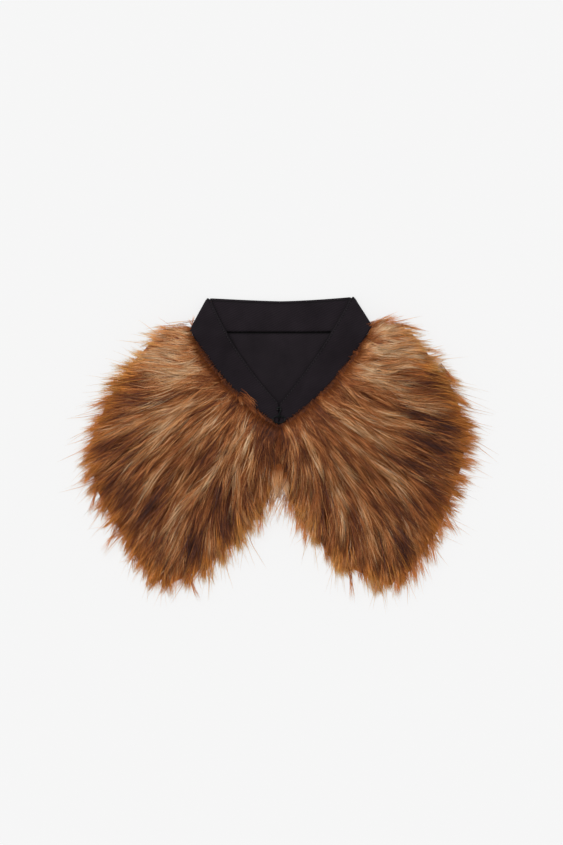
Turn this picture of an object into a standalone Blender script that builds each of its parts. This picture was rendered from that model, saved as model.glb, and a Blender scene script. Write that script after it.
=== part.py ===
"""A fur collar wrap: a stand of black cloth with a hook and eye, and a deep fur collar sewn to it.

It lies closed on a table, on its back. The back panel is underneath, fur side down, with its
lining up. The two front panels lie on it, fur side up, and wrap round its rim to the table. The
stand is pressed flat like a short tube, so that its back shows its inner face through the neck
and its fronts show their outer faces.

Row frame: metres, +Z up off the table, +Y towards the nape, +X to the right seen from above. The
origin is on the table, under the middle of the whole wrap. Sizes below are in millimetres.
"""

import math

import bmesh
import bpy
import numpy as np

MM = 0.001
GAP = 0.3  # between pieces that touch

# ---- Layers, from the table up -------------------------------------------------------------
BACK_FUR = 10.0  # the back panel's fur, pressed by what lies on it
LINING_WALL = 1.5
STAND_WALL = 3.0  # two cloths with interlining between them
EDGE_ROUNDING = 0.8  # of half the wall, at the stand's and the lining's long edges
STAND_FOLD = 2.05  # radius of the pressed side folds, at the middle of the wall
BED = BACK_FUR + LINING_WALL + 2 * GAP  # what the fronts lie on

# ---- Back panel ----------------------------------------------------------------------------
# Its plan is a rounded box about CENTRE_Y, cut off at the nape seam.
BACK_CENTRE_Y = 54.0
BACK_HALF_WIDTH = 140.0
BACK_HALF_DEPTH = 76.0
BACK_SQUARENESS = 2.5
NAPE_FUR_Y = 114.3
NAPE_FUR_INSET = 5.0  # how far the panel's corners stay inside the stand's folds
BACK_TURN = (20.0, -200.0)  # degrees about the centre, from the right shoulder to the left one
LINING_SHARE = 0.72  # of the way from the nape to the fur's rim
LINING_ENDS = (0.03, 0.97)  # shares of the nape, just inside the shoulders
WRAP_START = 1.02  # where the fronts begin to fall to the table, as a share of the back's reach
WRAP_END = 1.12
DRAPE = (0.5, 1.3)  # the same for the fronts' top, which falls more softly

# ---- Nape stretch of the stand, at the middle of its wall -----------------------------------
NAPE_SEAM_Y = 115.7
NAPE_EDGE_Y = 146.6
NAPE_SEAM_Z = 11.0
NAPE_EDGE_Z = 2.2  # its free edge comes down to the table
NAPE_LENGTH = 0.982  # its share of the stretch between the folds, to stay clear of their ends
NAPE_LIFTS = {"stand_seam": 4.0, "stand_edge": 1.4}  # powers by which it rises to the folds

# ---- Each side, with plan curves as (x, y) of start, control and end. x is outwards ----------
SIDES = {
    "left": {
        "sign": -1.0,
        "stand_seam": ((87.0, 114.5), (56.0, 56.0), (0.5, 22.0)),
        "stand_edge": ((68.5, 149.6), (47.5, 97.0), (0.5, 44.5)),
        "seed": 3,
    },
    "right": {
        "sign": 1.0,
        "stand_seam": ((91.0, 118.5), (51.0, 50.0), (0.5, 22.0)),
        "stand_edge": ((71.5, 150.8), (45.5, 99.0), (0.5, 43.5)),
        "seed": 8,
    },
}

# Where the locks that leave the seam at each share of it end, and how far their paths bow up and
# out, as a share of their length. share runs from the shoulder, at the stand's fold, to the hook.
# Upper locks sweep sideways towards their tips, and those by the opening turn down.
RIM_COLUMNS = ("share", "out", "y", "bow")
RIMS = {
    "left": (
        (0.000, 128, 117, 0.06),
        (0.160, 146, 97, -0.04),
        (0.235, 160, 85, -0.10),
        (0.295, 171, 69, -0.12),
        (0.350, 184, 43, -0.09),
        (0.400, 194, 14, -0.04),
        (0.460, 198, -22, 0.01),
        (0.520, 187, -56, 0.03),
        (0.570, 171, -82, 0.02),
        (0.625, 156, -106, 0.005),
        (0.690, 139, -132, 0.01),
        (0.760, 113, -147, 0.03),
        (0.815, 83, -134, 0.06),
        (0.855, 57, -115, 0.09),
        (0.890, 31, -95, 0.11),
        (0.940, 14, -72, 0.09),
        (1.000, 1.4, -46, 0.0),
    ),
    "right": (
        (0.000, 136, 121, 0.06),
        (0.090, 150, 107, -0.02),
        (0.170, 161, 94, -0.08),
        (0.235, 170, 82, -0.11),
        (0.300, 182, 65, -0.11),
        (0.385, 192, 41, -0.10),
        (0.455, 198, 8, -0.045),
        (0.565, 192, -24, -0.05),
        (0.640, 180, -58, -0.035),
        (0.695, 168, -88, 0.0),
        (0.740, 151, -112, 0.015),
        (0.775, 136, -133, 0.03),
        (0.812, 112, -149, 0.07),
        (0.845, 71, -130, 0.06),
        (0.860, 46, -112, 0.07),
        (0.885, 29, -88, 0.10),
        (0.930, 13, -70, 0.09),
        (1.000, 1.4, -46, 0.02),
    ),
}

# ---- Fur -----------------------------------------------------------------------------------
BACKING = 3.0  # the fur's knitted backing, where the pile starts at the seam
PILE = 24.0  # height of the combed pile over the backing
TIP = 2.6  # thickness of the fur at the lock tips
BACK_RIM = 6.0  # and at the back panel's rim, under the fronts
SHOULDER_PILE = 0.42  # share of PILE at the shoulder fold
OPENING_PILE = 0.55  # and along the front opening
SHOULDER_SHARE = 0.12  # of the seam, over which the pile gains its full height
OPENING_SHARE = 0.88  # from where it loses height again
FRONT_LOCKS = 34
BACK_LOCKS = 22
FRONT_ROWS = 13
LOCK_COLUMNS = (0.0, 0.62, 1.0)  # a lock's rise across its width, before it drops to the next
LOCK_MEAN = 0.4  # where the rim lies between hollows and tips
LOCK_REACH = 0.10  # how far the longest tips pass the hollows, as a share of the reach
LOCK_RELIEF = 3.2  # how far one tier of locks stands over the next
LOCK_TIERS = 3
LOCK_WIDTHS = (0.6, 1.4)  # of the mean width
LOCK_LENGTHS = (0.3, 1.0)  # of LOCK_REACH
TIER_SLANT = 0.45  # how much earlier a tier starts at a lock's middle
TIP_ROW = 0.985  # the underside's last row, just inside the tips
ROW_CROWDING = 1.2  # rows lie closer together at the seam

# Height of the pile from seam to rim, as shares of PILE.
PILE_COLUMNS = ("way", "height")
PILE_PROFILE = (
    (0.00, 0.00),
    (0.04, 0.30),
    (0.10, 0.60),
    (0.22, 0.90),
    (0.42, 1.00),
    (0.62, 0.96),
    (0.80, 0.74),
    (0.93, 0.38),
    (1.00, 0.00),
)

# ---- Hook and eye, of black wire -----------------------------------------------------------
WIRE = 1.5
EYE_WIDTH = 13.5
EYE_HEIGHT = 8.5
EYE_CENTRE_Y = 28.0
HOOK_TOP_Y = 40.0

FUR_COLOUR = (0.30, 0.12, 0.04)
CLOTH_COLOUR = (0.018, 0.016, 0.018)
WIRE_COLOUR = (0.01, 0.012, 0.012)


# ---- Plain maths ---------------------------------------------------------------------------
def smooth_step(low, high, value):
    """0 below low, 1 above high, and an S-shaped rise between."""
    share = np.clip((value - low) / (high - low), 0.0, 1.0)
    return share * share * (3.0 - 2.0 * share)


def bezier(points, share):
    """Points at shares of the way along curves with one control point, in any number of columns."""
    start, control, end = points
    share = np.asarray(share, float)[..., None]
    return (1 - share) ** 2 * start + 2 * share * (1 - share) * control + share**2 * end


def plan_curve(side, name, share):
    """Points along one of a side's named plan curves."""
    return bezier([np.array(point, float) for point in SIDES[side][name]], share)


def turned_left(vectors):
    """Plan vectors turned a quarter turn anticlockwise, at length 1."""
    turned = np.stack([-vectors[..., 1], vectors[..., 0]], axis=-1)
    return turned / np.linalg.norm(turned, axis=-1, keepdims=True)


def with_height(plan, height):
    """Plan points with their heights added."""
    return np.concatenate([plan, np.broadcast_to(height, plan.shape[:-1])[..., None]], axis=-1)


def read(rows, columns, name, share):
    """A table's named column, read between its rows at shares in its first column."""
    at = columns.index(name)
    return np.interp(share, [row[0] for row in rows], [row[at] for row in rows])


def back_share(x, y):
    """A plan point's distance from the middle of the back panel, as a share of its reach there."""
    wide = np.abs(x / BACK_HALF_WIDTH) ** BACK_SQUARENESS
    deep = np.abs((y - BACK_CENTRE_Y) / BACK_HALF_DEPTH) ** BACK_SQUARENESS
    return (wide + deep) ** (1 / BACK_SQUARENESS)


def underside(plan):
    """Height of the fronts' underside, which lies on the back panel and wraps down past its rim."""
    past = back_share(plan[..., 0], plan[..., 1]) - WRAP_START
    return BED * (1 - np.clip(past / (WRAP_END - WRAP_START), 0.0, 1.0))


def nape_z(y):
    """Height of the stand's nape stretch, which slopes from its seam to the table."""
    share = np.clip((y - NAPE_SEAM_Y) / (NAPE_EDGE_Y - NAPE_SEAM_Y), -0.1, 1.1)
    return NAPE_SEAM_Z + (NAPE_EDGE_Z - NAPE_SEAM_Z) * share


def front_stand_z(y):
    """Height of the stand's fronts, which lie on the nape stretch and then on the lining."""
    on_lining = BED + STAND_WALL / 2
    on_nape = nape_z(y) + 2 * STAND_FOLD
    share = smooth_step(NAPE_SEAM_Y - 22.0, NAPE_SEAM_Y - 3.0, y)
    return on_lining + (on_nape - on_lining) * share


# ---- Bodies --------------------------------------------------------------------------------
def clear_scene():
    for obj in list(bpy.data.objects):
        bpy.data.objects.remove(obj, do_unlink=True)


def make_material(name, colour, roughness, metallic=0.0):
    material = bpy.data.materials.new(name)
    material.use_nodes = True
    shader = material.node_tree.nodes["Principled BSDF"]
    shader.inputs["Base Color"].default_value = (*colour, 1.0)
    shader.inputs["Roughness"].default_value = roughness
    shader.inputs["Metallic"].default_value = metallic
    return material


def add_object(name, data, collection, material):
    obj = bpy.data.objects.new(name, data)
    data.materials.append(material)
    collection.objects.link(obj)
    return obj


def close_end(mesh, over, under, over_way, under_way):
    """Triangles between the top and bottom edges of an end, paired by how far along they are."""
    top, bottom = 0, 0
    while top < len(over) - 1 or bottom < len(under) - 1:
        next_top = over_way[top + 1] if top < len(over) - 1 else math.inf
        next_bottom = under_way[bottom + 1] if bottom < len(under) - 1 else math.inf
        if next_top <= next_bottom:
            mesh.faces.new((over[top], over[top + 1], under[bottom]))
            top += 1
        else:
            mesh.faces.new((over[top], under[bottom + 1], under[bottom]))
            bottom += 1


def body(name, over, under, over_way, under_way, collection, material):
    """A closed body between a top and a bottom grid of points, each of columns by rows by xyz."""
    mesh = bmesh.new()
    tops = [[mesh.verts.new(point * MM) for point in column] for column in over]
    bottoms = [[mesh.verts.new(point * MM) for point in column] for column in under]
    for column in range(len(tops) - 1):
        here = tops[column] + bottoms[column][::-1]
        there = tops[column + 1] + bottoms[column + 1][::-1]
        for point in range(len(here)):
            after = (point + 1) % len(here)
            mesh.faces.new((here[point], here[after], there[after], there[point]))
    for end in (0, -1):
        close_end(mesh, tops[end], bottoms[end], over_way[end], under_way[end])
    bmesh.ops.recalc_face_normals(mesh, faces=mesh.faces)
    data = bpy.data.meshes.new(name)
    mesh.to_mesh(data)
    mesh.free()
    data.shade_smooth()
    return add_object(name, data, collection, material)


def rounded_wall(name, points, thickness, collection, material):
    """A wall of cloth about a grid of points, with its two long edges rounded."""
    across = np.gradient(points, axis=1)
    normal = np.cross(np.gradient(points, axis=0), across)
    normal *= thickness / 2 / np.linalg.norm(normal, axis=2, keepdims=True)
    inwards = across[:, [0, -1]] * [[[1.0], [-1.0]]]
    inwards *= thickness / 2 / np.linalg.norm(inwards, axis=2, keepdims=True)

    def face(sign):
        """One side of the wall, whose edges are drawn in, with a row halfway round each edge."""
        flat = points + sign * normal
        flat[:, [0, -1]] += EDGE_ROUNDING * inwards
        low, high = (
            points[:, end] + (sign * normal[:, end] + EDGE_ROUNDING / 2 * inwards[:, end]) / 2
            for end in (0, -1)
        )
        return np.concatenate([low[:, None], flat, high[:, None]], axis=1)

    rows = points.shape[1]
    way = np.broadcast_to(np.arange(rows + 2.0), (points.shape[0], rows + 2))
    return body(name, face(1.0), face(-1.0), way, way, collection, material)


def wire(name, points, closed, collection, material):
    """A bent wire through points."""
    curve = bpy.data.curves.new(name, "CURVE")
    curve.dimensions = "3D"
    curve.bevel_depth = WIRE / 2 * MM
    curve.bevel_resolution = 2
    curve.use_fill_caps = not closed
    spline = curve.splines.new("POLY")
    spline.points.add(len(points) - 1)
    for knot, point in zip(spline.points, points):
        knot.co = (*(np.asarray(point) * MM), 1.0)
    spline.use_cyclic_u = closed
    return add_object(name, curve, collection, material)


# ---- Fur -----------------------------------------------------------------------------------
def lock_columns(locks, seed):
    """Each column's share of the way across, its rise in its lock and its lock's length."""
    rng = np.random.default_rng(seed)
    edges = np.concatenate([[0.0], np.cumsum(rng.uniform(*LOCK_WIDTHS, locks))])
    per_lock = len(LOCK_COLUMNS)
    places = np.arange(locks)[:, None] + np.arange(per_lock) / per_lock
    share = np.interp(np.append(places, locks), np.arange(locks + 1.0), edges) / edges[-1]
    rise = np.append(np.tile(LOCK_COLUMNS, locks), 0.0)
    lengths = rng.uniform(*LOCK_LENGTHS, locks)
    return share, rise, np.append(np.repeat(lengths, per_lock), 0.0)


def seam_shares(rim, rim_share):
    """The share of the seam that each share of the rim's length belongs to."""
    corners = np.array([row[1:3] for row in rim], float)
    gone = np.append(0.0, np.cumsum(np.linalg.norm(np.diff(corners, axis=0), axis=1)))
    return np.interp(rim_share, gone / gone[-1], [row[0] for row in rim])


def lock_paths(start, end, way, bow):
    """Plan points along paths from start to end that bow out to their left by bow."""
    sideways = turned_left(end - start) * bow[:, None]
    control = (start + end) / 2 + 2 * sideways
    return bezier([start[:, None], control[:, None], end[:, None]], way)


def tier_relief(way, rise):
    """Locks lie in tiers like shingles: each rises along its tier and then drops to the next."""
    place = way * LOCK_TIERS - TIER_SLANT * rise[:, None]
    fade = smooth_step(0.02, 0.2, way) * (1 - np.clip(way, 0.0, 1.0) ** 4)
    return LOCK_RELIEF * (place - np.floor(place)) * fade


def way_at(start, end, bow, wanted):
    """For each path, the share of its way at which it passes a wanted share of the back's reach."""
    dense = np.linspace(0.0, 1.0, 101)
    paths = lock_paths(start, end, np.broadcast_to(dense, (len(start), 101)), bow)
    reached = np.maximum.accumulate(back_share(paths[..., 0], paths[..., 1]), axis=1)
    return np.array([np.interp(wanted, row, dense) for row in reached])


def front_fur(side, collection, material):
    """One front panel's fur, from the stand's seam over the shoulder and chest to its lock tips."""
    sizes, rim = SIDES[side], RIMS[side]
    rim_share, rise, length = lock_columns(FRONT_LOCKS, sizes["seed"])
    share = seam_shares(rim, rim_share)
    seam = plan_curve(side, "stand_seam", share)
    seam += turned_left(np.gradient(seam, axis=0)) * 2 * GAP
    end = np.stack([read(rim, RIM_COLUMNS, name, share) for name in ("out", "y")], axis=1)
    bow = read(rim, RIM_COLUMNS, "bow", share) * np.linalg.norm(end - seam, axis=1)

    # Rows along each lock. The underside's follow the back panel's rim, where it wraps down.
    tips = 1 + LOCK_REACH * (rise * length - LOCK_MEAN)
    over_way = np.linspace(0.0, 1.0, FRONT_ROWS)[None] ** ROW_CROWDING * tips[:, None]
    wrap_start = np.clip(way_at(seam, end, bow, WRAP_START), 0.10, 0.70)
    wrap_end = np.clip(way_at(seam, end, bow, WRAP_END), wrap_start + 0.08, 0.85)
    on_table = np.linspace(wrap_end, TIP_ROW * tips, 4, axis=1)
    under_way = np.column_stack([0 * share, wrap_start / 2, wrap_start, on_table])
    over = lock_paths(seam, end, over_way, bow)
    under = lock_paths(seam, end, under_way, bow)

    # Heights: the drape over the back panel, the backing, the pile and its locks.
    full = SHOULDER_PILE + (1 - SHOULDER_PILE) * smooth_step(0.0, SHOULDER_SHARE, share)
    full *= 1 - (1 - OPENING_PILE) * smooth_step(OPENING_SHARE, 1.0, share)
    pile = PILE * read(PILE_PROFILE, PILE_COLUMNS, "height", over_way / tips[:, None])
    pile = (pile + tier_relief(over_way, rise)) * full[:, None]
    drape = BED * (1 - smooth_step(*DRAPE, back_share(over[..., 0], over[..., 1])))
    over_z = np.maximum(drape + BACKING + pile, underside(over) + BACKING)
    over_z[:, -1] = TIP
    under_z = underside(under)
    under_z[:, 3:] = 0.0
    over, under = with_height(over, over_z), with_height(under, under_z)
    for grid in (over, under):
        grid[..., 0] *= sizes["sign"]
    return body(f"fur_{side}", over, under, over_way, under_way, collection, material)


def back_rim(turn):
    """Points of the back panel's rim at angles about its middle."""
    ray = np.stack([np.cos(turn), np.sin(turn)], axis=-1)
    reach = 1 / back_share(ray[..., 0], ray[..., 1] + BACK_CENTRE_Y)
    return np.array([0.0, BACK_CENTRE_Y]) + ray * reach[..., None]


def back_paths(share, way):
    """Plan points of the back panel, from the nape seam to its rim, right shoulder to left."""
    right, left = (plan_curve(side, "stand_seam", [0.0])[0] for side in ("right", "left"))
    reach_right, reach_left = right[0] - NAPE_FUR_INSET, left[0] - NAPE_FUR_INSET
    seam_x = reach_right - (reach_right + reach_left) * share
    seam = np.stack([seam_x, np.full_like(share, NAPE_FUR_Y)], axis=1)
    turn = np.radians(BACK_TURN[0] + (BACK_TURN[1] - BACK_TURN[0]) * share)
    return lock_paths(seam, back_rim(turn), way, np.zeros_like(share))


def back_fur(collection, material):
    """The back panel's fur, pressed flat on the table."""
    share, rise, length = lock_columns(BACK_LOCKS, 5)
    tips = 1 - LOCK_REACH * (1 - rise * length)
    over_way = np.array([[0.0, 0.5, 0.92, 1.0]]) * tips[:, None]
    under_way = np.array([[0.0, 0.99]]) * tips[:, None]
    height = np.array([BACK_FUR, BACK_FUR, BACK_FUR, BACK_RIM])
    over = with_height(back_paths(share, over_way), height)
    under = with_height(back_paths(share, under_way), 0.0)
    return body("fur_back", over, under, over_way, under_way, collection, material)


def back_lining(collection, material):
    """The back panel's lining, which shows through the neck."""
    share = np.linspace(*LINING_ENDS, 25)
    way = np.broadcast_to(np.linspace(0.0, LINING_SHARE, 3), (25, 3))
    height = BACK_FUR + GAP + LINING_WALL / 2
    points = with_height(back_paths(share, way), height)
    return rounded_wall("back_lining", points, LINING_WALL, collection, material)


# ---- Stand ---------------------------------------------------------------------------------
def stand_back(collection, material):
    """The stand's nape stretch, inner face up, between the two pressed side folds."""
    share = np.linspace(-NAPE_LENGTH, NAPE_LENGTH, 21)
    left, right = SIDES["left"], SIDES["right"]
    ends = {}
    for name, y in (("stand_seam", NAPE_SEAM_Y), ("stand_edge", NAPE_EDGE_Y)):
        reach_left, reach_right = left[name][0][0], right[name][0][0]
        x = share * (reach_left + reach_right) / 2 + (reach_right - reach_left) / 2
        lift_left, lift_right = left[name][0][1] - y, right[name][0][1] - y
        lift = (lift_right + lift_left) / 2 + (lift_right - lift_left) / 2 * share
        ends[name] = np.stack([x, y + lift * np.abs(share) ** NAPE_LIFTS[name]], axis=1)
    up = np.linspace(0.0, 1.0, 6)[None, :, None]
    plan = ends["stand_seam"][:, None] * (1 - up) + ends["stand_edge"][:, None] * up
    points = with_height(plan, nape_z(plan[..., 1]))
    return rounded_wall("stand_back", points, STAND_WALL, collection, material)


def stand_front(side, collection, material):
    """One front stretch, outer face up, with the pressed fold that joins it to the nape stretch."""
    share = np.linspace(0.0, 1.0, 17)
    seam, edge = (plan_curve(side, name, share) for name in ("stand_seam", "stand_edge"))
    up = np.linspace(0.0, 1.0, 6)[None, :, None]
    plan = seam[:, None] * (1 - up) + edge[:, None] * up
    panel = with_height(plan, front_stand_z(plan[..., 1]))
    # The fold turns half a circle under the panel's first column.
    outwards = np.array([*turned_left(seam[0] - edge[0]), 0.0])
    down = np.array([0.0, 0.0, 1.0])
    turns = np.radians([170.0, 135.0, 90.0, 45.0])
    fold = [
        panel[0] + STAND_FOLD * (outwards * math.sin(turn) + down * (math.cos(turn) - 1))
        for turn in turns
    ]
    points = np.concatenate([np.array(fold), panel])
    points[..., 0] *= SIDES[side]["sign"]
    return rounded_wall(f"stand_{side}", points, STAND_WALL, collection, material)


# ---- Hook and eye --------------------------------------------------------------------------
WIRE_BED = BED + STAND_WALL + GAP + WIRE / 2  # middle of a wire that lies on the stand


def eye(collection, material):
    """An oval of black wire, sewn on over the front ends."""
    turn = np.linspace(0.0, 2 * math.pi, 20, endpoint=False)
    x = (EYE_WIDTH - WIRE) / 2 * np.cos(turn)
    y = EYE_CENTRE_Y + (EYE_HEIGHT - WIRE) / 2 * np.sin(turn)
    return wire("eye", with_height(np.stack([x, y], axis=1), WIRE_BED), True, collection, material)


def hook(collection, material):
    """A bent wire sewn on above the eye, that passes over the eye's upper bar and into it."""
    over_bar = WIRE_BED + WIRE + GAP
    bar_y = EYE_CENTRE_Y + (EYE_HEIGHT - WIRE) / 2
    run = (
        (-1.9, HOOK_TOP_Y - 3.0, WIRE_BED),
        (-1.6, HOOK_TOP_Y - 0.8, WIRE_BED),
        (0.0, HOOK_TOP_Y, WIRE_BED),
        (1.6, HOOK_TOP_Y - 0.8, WIRE_BED),
        (1.6, HOOK_TOP_Y - 3.0, WIRE_BED),
        (0.6, bar_y + 3.2, WIRE_BED + 0.6),
        (0.0, bar_y + 1.4, over_bar),
        (0.0, bar_y - 0.6, over_bar),
        (0.0, bar_y - 2.0, over_bar - 0.5),
        (0.0, bar_y - 2.9, WIRE_BED + 0.3),
    )
    return wire("hook", np.array(run), False, collection, material)


def main():
    clear_scene()
    collection = bpy.data.collections.new("fur_collar_wrap")
    bpy.context.scene.collection.children.link(collection)
    fur = make_material("faux_fur", FUR_COLOUR, 0.6)
    cloth = make_material("black_cloth", CLOTH_COLOUR, 0.85)
    black_wire = make_material("black_wire", WIRE_COLOUR, 0.35, 0.6)
    back_fur(collection, fur)
    back_lining(collection, cloth)
    stand_back(collection, cloth)
    for side in SIDES:
        front_fur(side, collection, fur)
        stand_front(side, collection, cloth)
    eye(collection, black_wire)
    hook(collection, black_wire)


main()
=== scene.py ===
# %% [markdown]
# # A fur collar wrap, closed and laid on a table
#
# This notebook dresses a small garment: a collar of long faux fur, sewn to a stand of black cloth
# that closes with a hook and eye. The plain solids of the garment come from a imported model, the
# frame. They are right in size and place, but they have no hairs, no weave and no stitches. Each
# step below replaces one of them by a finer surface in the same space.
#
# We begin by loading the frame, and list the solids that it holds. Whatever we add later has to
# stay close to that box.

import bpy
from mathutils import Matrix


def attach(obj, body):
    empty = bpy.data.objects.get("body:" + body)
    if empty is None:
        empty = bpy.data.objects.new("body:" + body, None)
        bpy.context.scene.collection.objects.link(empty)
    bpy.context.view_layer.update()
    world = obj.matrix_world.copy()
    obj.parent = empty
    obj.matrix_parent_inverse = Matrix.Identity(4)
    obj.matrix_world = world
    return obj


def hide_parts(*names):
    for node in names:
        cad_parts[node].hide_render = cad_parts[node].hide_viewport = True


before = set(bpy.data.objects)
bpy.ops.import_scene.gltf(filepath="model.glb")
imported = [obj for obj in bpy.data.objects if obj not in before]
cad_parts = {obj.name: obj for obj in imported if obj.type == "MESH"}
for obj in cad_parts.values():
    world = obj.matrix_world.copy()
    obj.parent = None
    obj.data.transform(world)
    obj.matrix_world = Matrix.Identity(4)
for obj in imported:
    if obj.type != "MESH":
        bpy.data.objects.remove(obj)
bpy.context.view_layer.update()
print("Solids in the frame:", ", ".join(sorted(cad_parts)))

# %% The libraries
import math

import bpy
import numpy as np

MM = 0.001
print("Sizes below are in millimetres, and", MM, "turns them into metres")

# %% [markdown]
# ## The layers, from the table up
#
# The wrap lies on its back. The back panel is underneath, fur side down, with its lining up. The
# two front panels lie on it and fall past its rim to the table. Their fur stands on a knitted
# backing, low at the seam and high in the middle. These heights are the ones that the solids
# were built with, so the finer surfaces sit exactly where the solids sit.

# %% Layer heights and panel sizes
GAP = 0.3  # air between two solids
BACK_FUR, BACK_RIM = 10.0, 6.0  # the back panel's thickness, and what is left of it at its rim
LINING_WALL = 1.5
STAND_WALL = 3.0
STAND_FOLD = 2.05  # from the middle of a fold to the middle of the wall round it
BED = BACK_FUR + LINING_WALL + 2 * GAP  # the height that the fronts lie at

BACK_CENTRE_Y, BACK_HALF_WIDTH, BACK_HALF_DEPTH, BACK_SQUARENESS = 54.0, 140.0, 76.0, 2.5
BACK_TURN = (20.0, -200.0)  # degrees, of its first path and its last, about its middle
NAPE_FUR_Y, NAPE_FUR_INSET = 114.3, 5.0  # its seam, and how far in from the fronts' seams that ends
WRAP = (1.02, 1.12)  # where the fronts fall from it to the table, as shares of its reach
DRAPE = (0.5, 1.3)  # where the top of the fur falls, which is a gentler slope
NAPE_SEAM_Y, NAPE_EDGE_Y, NAPE_SEAM_Z, NAPE_EDGE_Z, NAPE_LENGTH = 115.7, 146.6, 11.0, 2.2, 1.002

BACKING = 3.0
PILE = 24.0  # over the backing, where it is fullest
PILE_PROFILE = (  # (way, share of the full pile)
    (0.00, 0.00), (0.04, 0.30), (0.10, 0.60), (0.22, 0.90), (0.42, 1.00),
    (0.62, 0.96), (0.80, 0.74), (0.93, 0.38), (1.00, 0.00),
)
SHOULDER_PILE, SHOULDER_SHARE = 0.42, 0.12  # how full it is there, and the share where it is full
OPENING_PILE, OPENING_SHARE = 0.55, 0.88  # the same by the hook, where it stops being full
print("The fronts lie", round(BED, 1), "mm up, under", BACKING + PILE, "mm of fur")

# %% [markdown]
# ## The plan of a front panel
#
# Long pile is combed, so a front panel is best described by the way its hairs run. Every hair
# starts somewhere between the neck seam and the rim and runs along a *path*. A path is named by
# one number, its share of the seam, from 0 at the shoulder to 1 at the hook. A second number, the
# way, says how far along the path a point lies: 0 on the seam, 1 at the rim.
#
# With these two numbers any place on the panel can be named, and hairs that share a path lie
# parallel, as combed hair does. The tables give the rim for a few shares of the seam, and how far
# the path between bows to one side.

# %% Seams, rims and bows of the two fronts
SIDES = {
    "left": {
        "sign": -1.0,
        "seam": ((87.0, 114.5), (56.0, 56.0), (0.5, 22.0)),
        "edge": ((68.5, 149.6), (47.5, 97.0), (0.5, 44.5)),
    },
    "right": {
        "sign": 1.0,
        "seam": ((91.0, 118.5), (51.0, 50.0), (0.5, 22.0)),
        "edge": ((71.5, 150.8), (45.5, 99.0), (0.5, 43.5)),
    },
}
RIM_COLUMNS = ("share", "out", "y", "bow", "curl")  # curl is for the hair tips, in mm to one side
RIMS = {
    "left": (
        (0.000, 128, 117, 0.06, 0), (0.160, 146, 97, -0.04, 0), (0.235, 160, 85, -0.10, 1),
        (0.295, 171, 69, -0.12, 4), (0.350, 184, 43, -0.09, 8), (0.400, 194, 14, -0.04, 7),
        (0.460, 198, -22, 0.01, 1), (0.520, 187, -56, 0.03, -2), (0.570, 171, -82, 0.02, 1),
        (0.625, 156, -106, 0.005, 4), (0.690, 139, -132, 0.01, 2), (0.760, 113, -147, 0.03, 0),
        (0.815, 83, -134, 0.06, 0), (0.855, 57, -115, 0.09, 0), (0.890, 31, -95, 0.11, 0),
        (0.940, 14, -72, 0.09, 0), (1.000, 1.4, -46, 0.0, 0),
    ),
    "right": (
        (0.000, 136, 121, 0.06, 0), (0.090, 150, 107, -0.02, 2), (0.170, 161, 94, -0.08, 6),
        (0.235, 170, 82, -0.11, 10), (0.300, 182, 65, -0.11, 11), (0.385, 192, 41, -0.10, 9),
        (0.455, 198, 8, -0.045, 6), (0.565, 192, -24, -0.05, -1), (0.640, 180, -58, -0.035, 1),
        (0.695, 168, -88, 0.0, 7), (0.740, 151, -112, 0.015, 8), (0.775, 136, -133, 0.03, 4),
        (0.812, 112, -149, 0.07, 1), (0.845, 71, -130, 0.06, 0), (0.860, 46, -112, 0.07, 0),
        (0.885, 29, -88, 0.10, 0), (0.930, 13, -70, 0.09, 0), (1.000, 1.4, -46, 0.02, 0),
    ),
}


def read(rows, columns, name, share):
    """A table's named column, read between its rows at shares in its first column."""
    at = columns.index(name)
    return np.interp(share, [row[0] for row in rows], [row[at] for row in rows])


def smooth_step(low, high, value):
    """0 below low, 1 above high, and an S-shaped rise between: 3s² - 2s³ of the share s between them."""
    share = np.clip((value - low) / (high - low), 0.0, 1.0)
    return share * share * (3.0 - 2.0 * share)


def turned(vectors):
    """Plan vectors turned a quarter turn anticlockwise, (x, y) to (-y, x)."""
    return np.stack([-vectors[..., 1], vectors[..., 0]], axis=-1)


def unit(vectors):
    """Vectors at length 1."""
    return vectors / np.maximum(np.linalg.norm(vectors, axis=-1, keepdims=True), 1e-9)


def bezier(points, share):
    """(1-s)² start + 2s(1-s) control + s² end, for any array of shares s."""
    start, control, end = (np.asarray(point, float) for point in points)
    s = np.asarray(share, float)[..., None]
    return (1 - s) ** 2 * start + 2 * s * (1 - s) * control + s**2 * end


def seam_point(side, share):
    """The neck seam where the fur leaves it: the stand's seam curve, moved out by two gaps."""
    curve = SIDES[side]["seam"]
    start, control, end = (np.asarray(point, float) for point in curve)
    s = np.asarray(share, float)[..., None]
    run = (1 - s) * (control - start) + s * (end - control)
    return bezier(curve, share) + unit(turned(run)) * 2 * GAP


def front_plan(side, share, way):
    """A point of a front in plan, x outwards. The path from seam to rim is a curve with one control
    point, which lies beside the middle of its chord by twice the bow."""
    seam = seam_point(side, share)
    out, y, bow = (read(RIMS[side], RIM_COLUMNS, name, share) for name in ("out", "y", "bow"))
    rim, bow = np.stack([out, y], axis=-1), bow[..., None]
    control = (seam + rim) / 2 + 2 * bow * turned(rim - seam)
    return bezier((seam, control, rim), way)


def gone_along(points):
    """How far along a row of points each one lies, from 0 at the first: the steps' lengths, summed."""
    return np.append(0.0, np.cumsum(np.linalg.norm(np.diff(points, axis=0), axis=1)))


def reach(side, share):
    """The straight distance from seam to rim."""
    ends = front_plan(side, share, np.ones_like(share)) - seam_point(side, share)
    return np.linalg.norm(ends, axis=-1)


def rim_length(side, share):
    """How far along the rim from the shoulder a path ends, read from the table's points."""
    rows = np.array(RIMS[side], float)
    return np.interp(share, rows[:, 0], gone_along(rows[:, 1:3]))


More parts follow.
